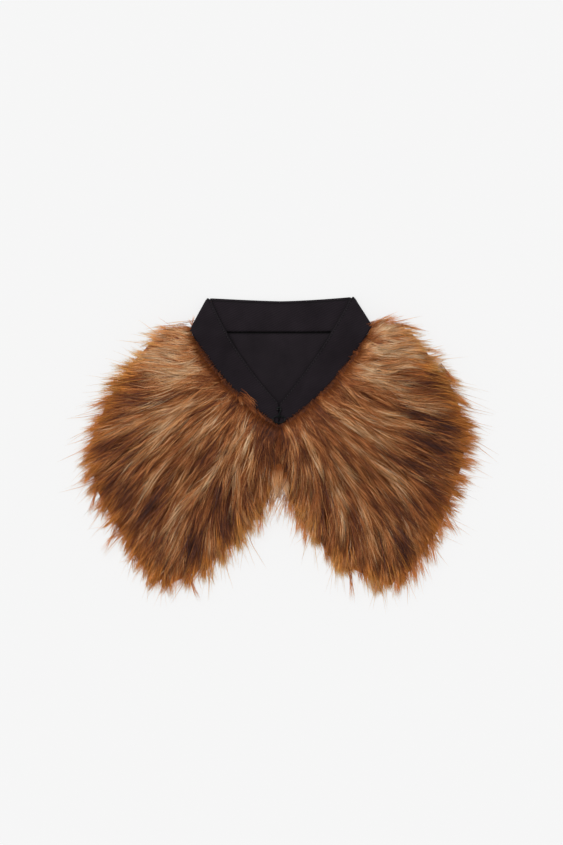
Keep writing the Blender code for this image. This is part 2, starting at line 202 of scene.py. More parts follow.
def even_shares(side, number, inset):
    """Shares of the seam whose paths end evenly spaced along the rim, an inset from both its ends."""
    fine = np.linspace(0.002, 0.998, 400)
    gone = rim_length(side, fine)
    return np.interp(np.linspace(gone[0] + inset, gone[-1] - inset, number), gone, fine)


for side in SIDES:
    print(f"The {side} front reaches {reach(side, np.linspace(0, 1, 50)).max():.0f} mm from its seam")

# %% [markdown]
# ## The height of the fur
#
# The fur's underside rests on the back panel and, past that panel's rim, on the table. Its top is
# the sum of three things: the drape over the back panel, the backing, and the pile. The pile
# rises fast from the seam, is fullest in the middle of the panel and comes down to nothing at the
# rim, where only the hair tips touch the table.

# %% Heights under and over the fur


def back_share(x, y):
    """A point's distance from the back panel's middle, as a share of its reach there. The panel is a
    rounded box, so the distance adds powers of 2.5 of the two sides' shares."""
    wide = np.abs(x / BACK_HALF_WIDTH) ** BACK_SQUARENESS
    deep = np.abs((y - BACK_CENTRE_Y) / BACK_HALF_DEPTH) ** BACK_SQUARENESS
    return (wide + deep) ** (1 / BACK_SQUARENESS)


def under_height(plan):
    """The height of what the fronts lie on: the back panel, falling to the table past its rim."""
    past = (back_share(plan[..., 0], plan[..., 1]) - WRAP[0]) / (WRAP[1] - WRAP[0])
    return BED * (1 - np.clip(past, 0.0, 1.0))


def fullness(share):
    """The pile's share of its full height along the seam. It is low at the shoulder and the hook."""
    full = SHOULDER_PILE + (1 - SHOULDER_PILE) * smooth_step(0.0, SHOULDER_SHARE, share)
    return full * (1 - (1 - OPENING_PILE) * smooth_step(OPENING_SHARE, 1.0, share))


def top_height(share, way, plan):
    """The fur's top: drape + backing + pile, and nowhere less than the backing over its bed."""
    drape = BED * (1 - smooth_step(*DRAPE, back_share(plan[..., 0], plan[..., 1])))
    pile = PILE * read(PILE_PROFILE, ("way", "height"), "height", way) * fullness(share)
    return np.maximum(drape + BACKING + pile, under_height(plan) + BACKING)


grid_share, grid_way = np.meshgrid(np.linspace(0, 1, 60), np.linspace(0, 1, 60), indexing="ij")
grid_top = top_height(grid_share, grid_way, front_plan("left", grid_share, grid_way))
print(f"The left front's fur is highest at {grid_top.max():.0f} mm over the table")

# %% [markdown]
# ## From arrays to meshes
#
# Every surface here is computed as whole arrays of points, and one function hands them to Blender.
# It takes the points, the corners of all faces in one flat row, and the number of corners of each
# face. That is how Blender stores a mesh itself, so a hundred thousand hairs go in at once.
#
# Cloth is a *closed shell*: one grid of points on top, one below, and a band of faces round the
# four borders that joins them. A tube is a ring of points carried along a path.

# %% Mesh builders
collection = bpy.data.collections.new("fur_collar_wrap_dressed")
bpy.context.scene.collection.children.link(collection)


def add_mesh(name, points, corners, counts, material, attributes=(), uv=None):
    """An object with one mesh from flat arrays. attributes are (name, one number for each point)."""
    data = bpy.data.meshes.new(name)
    data.vertices.add(len(points))
    data.vertices.foreach_set("co", (points * MM).astype(np.float32).ravel())
    data.loops.add(len(corners))
    data.loops.foreach_set("vertex_index", corners.astype(np.int32))
    data.polygons.add(len(counts))
    data.polygons.foreach_set("loop_start", (np.cumsum(counts) - counts).astype(np.int32))
    data.update(calc_edges=True)
    data.shade_smooth()
    for label, values in attributes:
        data.attributes.new(label, "FLOAT", "POINT").data.foreach_set("value", values)
    if uv is not None:
        layer = data.uv_layers.new(name="OFBake")
        layer.uv.foreach_set("vector", uv.astype(np.float32).ravel())
    data.materials.append(material)
    made = bpy.data.objects.new(name, data)
    collection.objects.link(made)
    return made


def grid_corners(columns, rows, first=0, flip=False):
    """Quads between neighbouring columns and rows of a grid that is stored column by column."""
    at = first + np.arange(columns * rows).reshape(columns, rows)
    quads = np.stack([at[:-1, :-1], at[1:, :-1], at[1:, 1:], at[:-1, 1:]], axis=-1).reshape(-1, 4)
    return quads[:, ::-1] if flip else quads


def shell(name, over, under, material, attributes=()):
    """A closed shell between two grids of the same shape. Columns run to the right of the rows'
    direction, seen from above. The band round the borders shares their points."""
    columns, rows = over.shape[:2]
    size = columns * rows
    at = np.arange(size).reshape(columns, rows)
    border = np.concatenate([at[:-1, 0], at[-1, :-1], at[:0:-1, -1], at[0, :0:-1]])
    after = np.roll(border, -1)
    band = np.stack([border, border + size, after + size, after], axis=1)
    quads = np.concatenate(
        [grid_corners(columns, rows), grid_corners(columns, rows, size, flip=True), band]
    )
    points = np.concatenate([over.reshape(-1, 3), under.reshape(-1, 3)])
    return add_mesh(name, points, quads.ravel(), np.full(len(quads), 4), material, attributes)


def grid_normals(points):
    """Unit normals of a grid surface: across × along, from the differences between neighbours."""
    return unit(np.cross(np.gradient(points, axis=0), np.gradient(points, axis=1)))


def with_height(plan, height):
    """Plan points with their heights added as a third coordinate."""
    return np.concatenate([plan, np.broadcast_to(height, plan.shape[:-1])[..., None]], axis=-1)


def mirrored(side, points):
    """Points of a front from x outwards to the row frame."""
    return points * np.array([SIDES[side]["sign"], 1.0, 1.0])


print("Mesh builders ready")

# %% [markdown]
# ## Materials from nodes
#
# A material in Blender is a small tree of nodes. Each node takes numbers or colours in at its
# sockets and hands one on, and the last one, the shader, decides how the surface takes the light.
# A few short functions add the kinds of node that we need, so that each material further down
# reads as a list of what it mixes.

# %% Node helpers


def new_material(name, roughness):
    """A material with its node tree and its Principled shader."""
    material = bpy.data.materials.new(name)
    material.use_nodes = True
    tree = material.node_tree
    shader = tree.nodes["Principled BSDF"]
    shader.inputs["Roughness"].default_value = roughness
    return material, tree, shader


def add_node(tree, kind, links=(), **settings):
    """A node with its settings. links are (socket name or number, output socket or plain value)."""
    node = tree.nodes.new(kind)
    for key, value in settings.items():
        setattr(node, key, value)
    for key, value in links:
        if isinstance(value, bpy.types.NodeSocket):
            tree.links.new(value, node.inputs[key])
        else:
            node.inputs[key].default_value = value
    return node


def add_ramp(tree, rows, factor):
    """A colour ramp with a stop for each row of (place, colour). Returns its colour output."""
    node = add_node(tree, "ShaderNodeValToRGB", [(0, factor)])
    stops = node.color_ramp.elements
    while len(stops) < len(rows):
        stops.new(0.5)
    for stop, (place, colour) in zip(stops, rows):
        stop.position = place
        stop.color = (*colour, 1.0)
    return node.outputs[0]


def mix(tree, kind, factor, first, second):
    """A colour Mix node of one blend kind. Returns its colour output."""
    node = add_node(tree, "ShaderNodeMix", [(0, factor)], data_type="RGBA", blend_type=kind)
    for socket, value in ((node.inputs[6], first), (node.inputs[7], second)):
        if isinstance(value, bpy.types.NodeSocket):
            tree.links.new(value, socket)
        else:
            socket.default_value = (*value, 1.0)
    return node.outputs[2]


def attribute(tree, name):
    """A mesh attribute as a number."""
    return add_node(tree, "ShaderNodeAttribute", attribute_name=name).outputs["Fac"]


def object_place(tree):
    """The place on the object, in metres, from which the cloth's and the wire's patterns are read."""
    return add_node(tree, "ShaderNodeTexCoord").outputs["Object"]


def add_bump(tree, shader, height, strength, distance):
    """A bump from a height, by so much strength over so many metres, for the shader's normal."""
    links = [("Height", height), ("Strength", strength), ("Distance", distance)]
    tree.links.new(add_node(tree, "ShaderNodeBump", links).outputs[0], shader.inputs["Normal"])


def span(tree, value, low, high, to_low=0.0, to_high=1.0):
    """A value's share between low and high, clamped, on a new range."""
    links = [(0, value), (1, low), (2, high), (3, to_low), (4, to_high)]
    return add_node(tree, "ShaderNodeMapRange", links).outputs[0]


def product(tree, first, second):
    """The product of two numbers."""
    return add_node(tree, "ShaderNodeMath", [(0, first), (1, second)], operation="MULTIPLY").outputs[0]


print("Node helpers ready")

# %% [markdown]
# ## The colour of the fur
#
# A hair of this fur isn't one colour. It is rust brown at the root, and further out it turns
# golden, beige or nearly black. So each hair carries two numbers: its *tone*, from -1 for the dark
# hairs to 1 for the beige ones, and *along*, from 0 at its root to 1 at its tip. Three colour
# ramps turn the tone into a colour, one for the root, one for the middle and one for the tip, and
# along blends between them. A third number, *rim*, is 1 on hairs that end at the fur's outline,
# where a fourth ramp paints the tips copper: a painted glow that stands for the light coming
# through them from the pale table.
#
# Attributes are the simplest way to hand such numbers from an array to a material, because they
# need no image and follow the hair wherever it goes.

# %% Fur materials
ROOT_RAMP = ((0.0, (0.105, 0.030, 0.012)), (0.5, (0.290, 0.077, 0.018)), (1.0, (0.480, 0.165, 0.048)))
BODY_RAMP = (
    (0.00, (0.115, 0.047, 0.036)), (0.25, (0.345, 0.108, 0.040)), (0.50, (0.690, 0.250, 0.080)),
    (0.75, (0.920, 0.485, 0.205)), (1.00, (0.980, 0.740, 0.470)),
)
TIP_RAMP = (
    (0.00, (0.085, 0.034, 0.027)), (0.25, (0.250, 0.076, 0.030)), (0.50, (0.590, 0.195, 0.054)),
    (0.75, (0.870, 0.430, 0.155)), (1.00, (0.960, 0.670, 0.380)),
)
# The rim's copper is painted light: a glow for the light that comes through the hair tips from the pale
# table.
RIM_BACKLIGHT_RAMP = (
    (0.20, (0.300, 0.084, 0.019)), (0.50, (0.640, 0.190, 0.032)), (0.78, (1.000, 0.400, 0.065)),
    (1.00, (1.000, 0.580, 0.190)),
)


def hair_material():
    """Rust at the root, then the tone's own colour, then its tip. Hairs that end at the rim have
    copper tips painted into their colour, a painted glow for the light that comes through them from
    the pale table, but the darkest stay dark."""
    material, tree, shader = new_material("faux_fur_hair", 0.5)
    tone = span(tree, attribute(tree, "tone"), -1.0, 1.0)
    along = attribute(tree, "along")
    root, body, tip = (add_ramp(tree, ramp, tone) for ramp in (ROOT_RAMP, BODY_RAMP, TIP_RAMP))
    lower = mix(tree, "MIX", span(tree, along, 0.18, 0.62), root, body)
    upper = mix(tree, "MIX", span(tree, along, 0.60, 0.98), lower, tip)
    # The rim's copper, mixed in below, is painted light, for light that comes through the tips from the
    # table.
    rim = attribute(tree, "rim")
    pale = product(tree, rim, span(tree, tone, 0.04, 0.20))
    copper = product(tree, pale, span(tree, along, 0.48, 0.86))
    colour = mix(tree, "MIX", copper, upper, add_ramp(tree, RIM_BACKLIGHT_RAMP, product(tree, rim, along)))
    tree.links.new(colour, shader.inputs["Base Color"])
    shader.inputs["Specular IOR Level"].default_value = 0.18
    return material


def underfur_material():
    """The dense, dark undercoat that shows between hairs: rust brown, drawn out along the hairs by
    its two attributes, flow across them and along with them. By the seam it lies in shade, and by
    the rim it is copper."""
    material, tree, shader = new_material("faux_fur_undercoat", 0.8)
    across, along = (attribute(tree, name) for name in ("across", "along"))
    place = add_node(tree, "ShaderNodeCombineXYZ", [(0, across), (1, along)]).outputs[0]
    waves = [("Vector", place), ("Scale", 1.0), ("Detail", 4.0)]
    noise = add_node(tree, "ShaderNodeTexNoise", waves).outputs[0]
    ramp = ((0.30, (0.085, 0.025, 0.010)), (0.50, (0.230, 0.062, 0.017)), (0.72, (0.460, 0.150, 0.042)))
    colour = add_ramp(tree, ramp, noise)
    shade = mix(tree, "MULTIPLY", span(tree, along, 0.3, 2.2, 0.85, 0.0), colour, (0.16, 0.14, 0.16))
    warm = mix(tree, "MIX", span(tree, along, 7.2, 8.4, 0.0, 0.8), shade, (0.520, 0.160, 0.035))
    tree.links.new(warm, shader.inputs["Base Color"])
    add_bump(tree, shader, noise, 0.6, 0.0015)
    return material


def knit_material():
    """The backing's brown knit: fine ribs that run up and down the panel."""
    material, tree, shader = new_material("brown_knit", 0.9)
    wales = [(0, object_place(tree)), ("Scale", 140.0), ("Distortion", 1.5), ("Detail", 2.0)]
    rib = add_node(tree, "ShaderNodeTexWave", wales).outputs[1]
    ramp = ((0.2, (0.030, 0.016, 0.011)), (0.8, (0.085, 0.048, 0.032)))
    tree.links.new(add_ramp(tree, ramp, rib), shader.inputs["Base Color"])
    add_bump(tree, shader, rib, 0.5, 0.0004)
    return material


hair = hair_material()
undercoat = underfur_material()
knit = knit_material()
print("Fur materials:", hair.name, undercoat.name, knit.name)

# %% [markdown]
# ## The black cloth, thread and wire
#
# The stand and the lining are one black suiting cloth, very slightly warm, with a fine twill that
# shows only close up. A wave texture turned out of square makes the twill's diagonal rib, and a
# slow noise lets the nap catch a little more light here and there. The cloth also reads an
# attribute that is 1 on its turned edges, where a painted highlight makes it a shade lighter, and
# below 0 in its seams, stitched grooves and down its edges' sides, where painted shade darkens it.

# %% Cloth, thread and wire materials
TWILL_PER_M, TWILL_TURN = 900.0, 63.0  # ribs, and degrees
WAVES_IN_ONE = 6.3  # how many bands a Wave texture draws at a scale of 1


def cloth_material(name):
    """A black twill: diagonal ribs for colour and bump, slow patches of nap, a painted highlight on
    its turned edges and painted shade in its seams."""
    material, tree, shader = new_material(name, 0.86)
    place = object_place(tree)
    turn = add_node(tree, "ShaderNodeMapping", [(0, place), (2, (0.0, 0.0, math.radians(TWILL_TURN)))])
    waves_per_m = TWILL_PER_M / WAVES_IN_ONE
    ribs = [(0, turn.outputs[0]), ("Scale", waves_per_m), ("Distortion", 0.6), ("Detail", 1.0)]
    rib = add_node(tree, "ShaderNodeTexWave", ribs).outputs[1]
    patches = [("Vector", place), ("Scale", 45.0), ("Detail", 5.0)]
    nap = add_node(tree, "ShaderNodeTexNoise", patches).outputs[0]
    specks = [("Vector", place), ("Scale", 1600.0), ("Detail", 2.0)]
    fuzz = add_node(tree, "ShaderNodeTexNoise", specks).outputs[0]
    ground = add_ramp(tree, ((0.30, (0.0108, 0.0077, 0.0102)), (0.70, (0.0172, 0.0126, 0.0162))), nap)
    ribbed = mix(tree, "MULTIPLY", span(tree, rib, 0.2, 0.9, 0.45, 0.0), ground, (0.35, 0.34, 0.36))
    flecked = mix(tree, "MIX", span(tree, fuzz, 0.62, 0.80, 0.0, 0.35), ribbed, (0.030, 0.024, 0.029))
    # The edge attribute carries painted light: above 0 a highlight on turned edges, below 0 shade in seams,
    # stitched grooves and down edges' sides.
    edge = attribute(tree, "edge")
    edge_highlight = mix(tree, "MIX", span(tree, edge, 0.0, 1.0, 0.0, 0.22), flecked, (0.024, 0.020, 0.023))
    colour = mix(tree, "MIX", span(tree, edge, 0.0, -1.0, 0.0, 0.85), edge_highlight, (0.002, 0.002, 0.002))
    tree.links.new(colour, shader.inputs["Base Color"])
    height = add_node(tree, "ShaderNodeMath", [(0, rib), (1, fuzz)], operation="ADD").outputs[0]
    add_bump(tree, shader, height, 0.35, 0.0002)
    shader.inputs["Sheen Weight"].default_value = 0.02
    shader.inputs["Sheen Roughness"].default_value = 0.5
    shader.inputs["Specular IOR Level"].default_value = 0.1
    return material


def thread_material():
    """Black sewing thread, with the twist of its two plies along each stitch."""
    material, tree, shader = new_material("black_thread", 0.55)
    plies = [("Vector", object_place(tree)), ("Scale", 2500.0)]
    noise = add_node(tree, "ShaderNodeTexNoise", plies).outputs[0]
    ramp = ((0.35, (0.004, 0.003, 0.004)), (0.65, (0.012, 0.010, 0.012)))
    tree.links.new(add_ramp(tree, ramp, noise), shader.inputs["Base Color"])
    return material


def wire_material():
    """Black lacquered wire, rubbed a little here and there."""
    material, tree, shader = new_material("black_lacquered_wire", 0.45)
    rubs = [("Vector", object_place(tree)), ("Scale", 700.0), ("Detail", 3.0)]
    noise = add_node(tree, "ShaderNodeTexNoise", rubs).outputs[0]
    ramp = ((0.35, (0.002, 0.003, 0.003)), (0.75, (0.006, 0.008, 0.008)))
    tree.links.new(add_ramp(tree, ramp, noise), shader.inputs["Base Color"])
    tree.links.new(span(tree, noise, 0.3, 0.7, 0.35, 0.55), shader.inputs["Roughness"])
    shader.inputs["Specular IOR Level"].default_value = 0.12
    return material


cloth = cloth_material("black_twill")
thread = thread_material()
wire = wire_material()
print("Cloth materials:", cloth.name, thread.name, wire.name)

# %% [markdown]
# ## Backing and undercoat of the fronts
#
# Faux fur is a knitted backing with pile locked into it. The backing is real cloth, cut to the
# panel's outline less the length of the hair, so it is a thin shell that lies on the back panel
# and falls past its rim to the table. On it stands the undercoat: fine short hair, too dense to
# see single fibres in. A solid surface at six tenths of the pile's height, and lower by the seam,
# stands for it, so that no gap between the long hairs looks through to the table.

# %% Backings and undercoat beds
BACKING_INSETS, BACKING_GRID = (0.4, 38.0), (56, 22)
BACKING_Z, BACKING_WALL = 0.2, 2.0  # over what the front lies on
BED_INSETS, BED_GRID, BED_SHOULDER = (1.2, 10.0), (84, 30), 6.0
BED_Z, BED_LEAST = 2.4, 0.2
UNDERCOAT_LEVEL, SEAM_LEVEL = 0.60, 0.15


def front_grid(side, insets, grid, shoulder=0.0):
    """Shares, ways and plan points on a grid over a front, with columns from shoulder to hook. The
    grid starts and ends its insets in mm from seam and rim, or 0.4 of a short path from the rim."""
    share = even_shares(side, grid[0], shoulder)
    long = reach(side, share)
    start = insets[0] / long
    end = 1 - np.minimum(insets[1] / long, 0.4)
    way = start[:, None] + (end - start)[:, None] * np.linspace(0, 1, grid[1])
    share = np.broadcast_to(share[:, None], way.shape)
    return share, way, front_plan(side, share, way)


def flipped(side, grid):
    """Columns in the order that keeps a shell's top face up on either side."""
    return grid[::-1] if SIDES[side]["sign"] > 0 else grid


def front_backing(side):
    """A wall just over what the front lies on."""
    _, _, plan = front_grid(side, BACKING_INSETS, BACKING_GRID)
    low = under_height(plan) + BACKING_Z
    over = flipped(side, mirrored(side, with_height(plan, low + BACKING_WALL)))
    under = flipped(side, mirrored(side, with_height(plan, low)))
    return shell(f"backing_{side}", over, under, knit)


def front_undercoat(side):
    """Its height is a share of the pile's, which falls to nothing at its outer border and is low by
    the seam, where all hairs start."""
    share, way, plan = front_grid(side, BED_INSETS, BED_GRID, BED_SHOULDER)
    low = under_height(plan) + BED_Z
    full = top_height(share, way, plan)
    level = SEAM_LEVEL + (UNDERCOAT_LEVEL - SEAM_LEVEL) * smooth_step(0.0, 0.30, way)
    level = level * (1 - np.linspace(0, 1, BED_GRID[1]) ** 4)
    high = low + BED_LEAST + np.maximum(full - low, 0.0) * level
    over = flipped(side, mirrored(side, with_height(plan, high)))
    under = flipped(side, mirrored(side, with_height(plan, low)))
    across = np.tile(flipped(side, rim_length(side, share) / 2.0).ravel(), 2)
    along = np.tile(flipped(side, way * 9.0).ravel(), 2)
    return shell(f"undercoat_bed_{side}", over, under, undercoat, [("across", across), ("along", along)])


backings = {side: front_backing(side) for side in SIDES}
beds = {side: front_undercoat(side) for side in SIDES}
for side in SIDES:
    print(backings[side].name, len(backings[side].data.polygons), "faces;", beds[side].name)

# %% [markdown]
# ## One hair
#
# A hair is a slim closed spike with three sides: thin at the root, thickest from a third to two
# thirds of its length and drawn out to a point. Round every spine point but the last lie three
# corners, a third of a turn apart, in the plane square to the hair. Three sides are enough, because
# smooth shading rounds them. A long hair has four spine points and sixteen triangles, a short one
# three and ten.
#
# All hairs of a piece are one mesh. Each hair also gets its own small cell on a map, row by row,
# so that a baked texture has room for the colours along it.

# %% Many hairs as one mesh
CORNER_TURNS = np.radians([0.0, 120.0, 240.0])
GIRTH_ALONG = ((0.0, 0.55), (0.3, 1.0), (0.66, 0.92), (1.0, 0.0))  # (along, share of the girth)
CELL_COLUMNS, CELL_ROWS = (0.12, 0.88), (0.12, 0.95)  # the part of its cell that a hair fills
ROOT_CELL = (0.1, 0.02, 0.9, 0.02, 0.5, 0.08)  # the three corners of its root there
LOWEST = 0.1  # over the table, for any point of a hair


def hair_faces(rings):
    """Corner numbers, corner counts and cell places of one hair: sides, then tip, then root."""
    side = np.arange(3)
    after = (side + 1) % 3
    left, right = ((side + share) / 3 for share in CELL_COLUMNS)
    rise = np.linspace(*CELL_ROWS, rings + 1)
    corners, counts, places = [], [], []
    for ring in range(rings):
        low, high = (np.full(3, rise[ring + step]) for step in (0, 1))
        if ring < rings - 1:
            faces = [3 * ring + side, 3 * ring + after, 3 * ring + 3 + after, 3 * ring + 3 + side]
            spots = [left, low, right, low, right, high, left, high]
        else:
            faces = [3 * ring + side, 3 * ring + after, np.full(3, 3 * rings)]
            spots = [left, low, right, low, (left + right) / 2, high]
        corners.append(np.stack(faces, 1).ravel())
        counts += [len(faces)] * 3
        places.append(np.stack(spots, 1).ravel())
    corners.append([2, 1, 0])
    counts.append(3)
    places.append(ROOT_CELL)
    return np.concatenate(corners), np.array(counts), np.concatenate(places).reshape(-1, 2)


def add_hairs(name, spine, girth, tone, rim, seed):
    """Hairs along spines (hairs × points × xyz). Corner k of a ring lies at the spine point plus
    half the girth times (side·cos + down·sin) of k thirds of a turn and the hair's own roll."""
    rng = np.random.default_rng(seed)
    number, rings = len(spine), spine.shape[1] - 1
    run = unit(np.gradient(spine, axis=1))[:, :rings]
    side = unit(np.cross(run, [0.0, 0.0, 1.0]) + 1e-6)
    down = np.cross(run, side)
    turn = CORNER_TURNS + rng.uniform(0.0, 2.1, number)[:, None]
    shares = np.linspace(0, 1, rings + 1)
    thick = np.interp(shares[:-1], *np.array(GIRTH_ALONG).T)
    radius = (girth[:, None] / 2 * thick)[..., None, None]
    cos, sin = (wave(turn)[:, None, :, None] for wave in (np.cos, np.sin))
    rings_at = spine[:, :rings, None] + radius * (cos * side[:, :, None] + sin * down[:, :, None])
    points = np.concatenate([rings_at.reshape(number, 3 * rings, 3), spine[:, -1:]], axis=1)
    points[..., 2] = np.maximum(points[..., 2], LOWEST)
    corners, counts, places = hair_faces(rings)
    per_hair = 3 * rings + 1
    all_corners = (np.arange(number)[:, None] * per_hair + corners).ravel()
    cells = math.ceil(math.sqrt(number))
    cell = np.stack([np.arange(number) % cells, np.arange(number) // cells], axis=1)[:, None]
    along = np.tile(np.append(np.repeat(shares[:-1], 3), 1.0), number)
    attributes = [("tone", np.repeat(tone, per_hair)), ("along", along), ("rim", np.repeat(rim, per_hair))]
    uv = ((cell + places) / cells).reshape(-1, 2)
    return add_mesh(name, points.reshape(-1, 3), all_corners, np.tile(counts, number), hair, attributes, uv)


print("A long hair has", len(hair_faces(3)[1]), "faces on 10 points")

# %% [markdown]
# ## Where light and dark locks lie
#
# Long pile falls into locks, and whole locks are darker or paler than their neighbours. The eye
# knows this wrap by them, so the main ones are listed one by one: each row of a table has the
# middle of a streak, how long and wide it is, and how much it shifts the tone. A streak follows the
# hairs, whatever way they run there. Between them a slow random pattern, drawn out along the
# paths, varies the rest.

# %% Streak tables and the tone of a place
STREAKS = {  # (x, y, half length, half width, shift of the tone)
    "left": (
        (-120, 92, 30, 9, 0.45), (-100, 73, 30, 6, 0.45), (-130, 57, 16, 3, 0.35),
        (-88, 45, 25, 4, 0.35), (-51, 50, 15, 2.5, 0.8), (-150, 22, 22, 5, 0.45),
        (-65, 24, 20, 4, 0.35), (-38, 12, 22, 5, 0.45), (-126, -31, 18, 5, 0.7),
        (-72, -36, 20, 4, 0.5), (-104, -70, 25, 6, 0.7), (-45, -25, 18, 4, 0.35),
        (-112, -105, 15, 5, 0.35), (-118, 8, 34, 11, 0.2), (-128, 82, 26, 8, 0.3), (-80, 8, 24, 8, 0.15),
        (-143, 65, 18, 3, -0.5), (-142, 49, 16, 3, -0.55), (-166, 5, 18, 4, -0.3),
        (-96, 5, 14, 5, -0.6), (-78, -12, 16, 4, -0.6), (-112, -25, 16, 3, -0.7),
        (-150, -52, 16, 6, -0.75), (-85, -60, 14, 3, -0.7), (-62, -50, 16, 5, -0.7),
        (-84, -95, 20, 6, -0.75), (-150, -88, 16, 6, -0.7), (-118, -105, 14, 4, -0.6),
        (-50, -75, 14, 6, -0.6), (-130, -60, 14, 3, -0.6),
    ),
    "right": (
        (100, 62, 26, 6, 0.6), (88, 76, 14, 4, 0.45), (140, 92, 18, 4, 0.45),
        (58, 32, 26, 3, 0.6), (13, 10, 20, 2.5, 0.7), (30, 5, 22, 3, 0.4),
        (150, 42, 16, 3, 0.45), (110, -30, 24, 5, 0.7), (108, -72, 22, 5, 0.8),
        (128, -38, 18, 3.5, 0.55), (60, -60, 24, 6, 0.35), (142, 10, 14, 3, 0.35),
        (148, 63, 20, 3.5, -0.55), (120, 36, 16, 3, -0.7), (135, 8, 18, 4, -0.75),
        (150, 28, 14, 4, -0.7), (157, 2, 14, 5, -0.7), (122, -14, 14, 4, -0.7),
        (92, -18, 12, 5, -0.6), (135, -50, 18, 5, -0.7), (98, -60, 14, 4, -0.7),
        (122, -100, 16, 6, -0.75), (160, -55, 14, 4, -0.7), (85, -42, 14, 3.5, -0.6),
        (172, 14, 20, 4, -0.4), (172, -20, 18, 4, -0.45), (118, 96, 30, 9, 0.3), (140, 108, 26, 6, 0.3),
    ),
}


PATTERN_SEED = 5
STREAK_SPREAD = (1.1, 1.35)  # along and across, because a streak fades over its sides
STREAK_GAIN = 1.1
# Shifts of the tone by place, and then by the two random patterns, which are calmer by the hook.
# Dark rust with painted shade by the seam, and by the gap a paler tone painted for the light that comes
# through the hairs from the table.
SEAM_RUST_AND_SHADE_TONE, HOOK_TONE, GAP_BACKLIGHT_TONE, SHOULDER_TONE, RING_TONE = -0.40, -0.64, 0.55, 0.58, -0.34
SLOW_TONE, FINE_TONE, HOOK_CALM = 0.54, 0.36, 0.85
SLOW_CELL, FINE_CELL = (10.0, 0.17), (2.8, 0.18)  # how far a pattern reaches: mm across, ways along
PATTERN_SIZE = 64  # cells, after which a pattern repeats


def streaks_at(side, points, run):
    """The sum over streaks of shift · exp(-(along / half length)² - (across / half width)²), with
    along and across measured from the streak's middle in the hairs' own direction."""
    rows = np.array(STREAKS[side], float)
    away = points[:, None] - rows[None, :, :2]
    along = (away * run[:, None]).sum(-1) / (rows[:, 2] * STREAK_SPREAD[0])
    across = (away * turned(run)[:, None]).sum(-1) / (rows[:, 3] * STREAK_SPREAD[1])
    return STREAK_GAIN * (rows[:, 4] * np.exp(-(along**2) - across**2)).sum(-1)


def slow_pattern(seed, across, along, cell_across, cell_along):
    """A smooth random number from -1 to 1 for each pair: random corners of a grid, blended between."""
    values = np.random.default_rng(seed).uniform(-1, 1, (PATTERN_SIZE, PATTERN_SIZE))
    u, v = across / cell_across, along / cell_along
    i, j = np.floor(u).astype(int), np.floor(v).astype(int)
    fu, fv = smooth_step(0, 1, u - i), smooth_step(0, 1, v - j)
    after_i = (i + 1) % PATTERN_SIZE
    i = i % PATTERN_SIZE
    low, high = (
        values[i, at] * (1 - fu) + values[after_i, at] * fu
        for at in (j % PATTERN_SIZE, (j + 1) % PATTERN_SIZE)
    )
    return low * (1 - fv) + high * fv


def place_tone(side, seed, share, way, points, run):
    """The tone of the fur at a place: rust and painted shade by the seam, rust and calm under the
    hook, golden at the shoulder, painted paler by the gap for light through it from the table,
    darker in the outer ring, plus the streaks and two random patterns."""
    rust_and_shade_by_seam = SEAM_RUST_AND_SHADE_TONE * (1 - smooth_step(0.02, 0.24, way))
    by_hook = smooth_step(0.86, 1.0, share) * (1 - smooth_step(0.35, 0.7, way))
    gap_glow = GAP_BACKLIGHT_TONE * smooth_step(0.84, 0.92, share) * smooth_step(0.55, 0.85, way)
    shoulder = SHOULDER_TONE * (1 - smooth_step(0.10, 0.32, share))
    ring = RING_TONE * smooth_step(0.45, 0.70, way) * (1 - smooth_step(0.90, 1.0, way))
    ring = ring * smooth_step(0.08, 0.26, share)
    gone = rim_length(side, share)
    slow = SLOW_TONE * slow_pattern(PATTERN_SEED, gone, way, *SLOW_CELL)
    fine = FINE_TONE * slow_pattern(seed + 1, gone, way, *FINE_CELL)
    patterns = (slow + fine) * (1 - HOOK_CALM * by_hook) + HOOK_TONE * by_hook
    return rust_and_shade_by_seam + gap_glow + shoulder + ring + patterns + streaks_at(side, points, run)


for side in SIDES:
    print(side, "front:", len(STREAKS[side]), "streaks")

# %% [markdown]
# ## Locks of hair on the fronts
#
# Single hairs set at random look like grass. Combed pile falls into *locks*, and a lock is made of
# a few *strands*, thin bundles of hairs of one colour. So first the lock tips are spread evenly
# over the panel, by a golden-ratio sequence that is thinned where a step in share and way covers
# less of the panel. Each lock then gets its strands, and each strand its hairs. They start up to a
# few millimetres to either side of the lock's path, and draw in towards it as they near the tip.
#
# A hair leaves its root at a quarter to a half of the pile's height, rises fast and then lies
# along the top. Locks lean a little to either side of the way the fur was combed, and a few strays
# leave their lock and cross the others, as they do on real fur.

# %% Lock and hair paths
CURL_FROM = 0.68  # the way from which the locks curl down towards the rim
LONG_SPREAD, SHORTEST = (0.8, 1.1), 0.5  # a hair's length as shares of its lock's
SHORT_OF_TIP = 3.0  # mean mm by which strands, and hairs in them, end short of their lock
ROOT_WAYS = (-0.015, 0.03)  # where the hairs of a lock that reaches back to the seam start
HAIR_WANDER, STRAND_LEAN, STRAND_WAVE = 0.7, 1.3, 1.2  # mm, to either side of the lock
STRAY_SHARE, STRAY_LEAN = 0.06, 6.0  # how many hairs leave their lock, and by how many mm
DRIFT, DRIFT_CELL, DRIFT_FROM = 6.0, (26.0, 0.30), 45.0  # of whole locks, less near the shoulder
OVER_BED = 1.0  # where level 0 lies, over what the front lies on; level 1 is the top of the fur
ROOT_LEVELS, SIDE_DROP, TIP_DROP, TIP_LIFT = (0.25, 0.55), 0.06, 0.12, 0.7
TONE_SPREADS = (0.20, 0.14, 0.28)  # of locks, of strands and of hairs
RIM_FROM, RIM_TO = -20.0, -1.0  # mm past the rim: tips there have none, and all, of its painted copper glow
RIM_GLOW = 0.3  # how much more painted copper glow hairs have at the shoulder and the gap
RIM_BACKLIGHT_PALING = 0.6  # how much of their darkness dark hairs lose at the rim, painted paler for light through them
GOLDEN = 1.2207440846057596  # x in x⁴ = x + 1, whose powers spread points evenly in three numbers


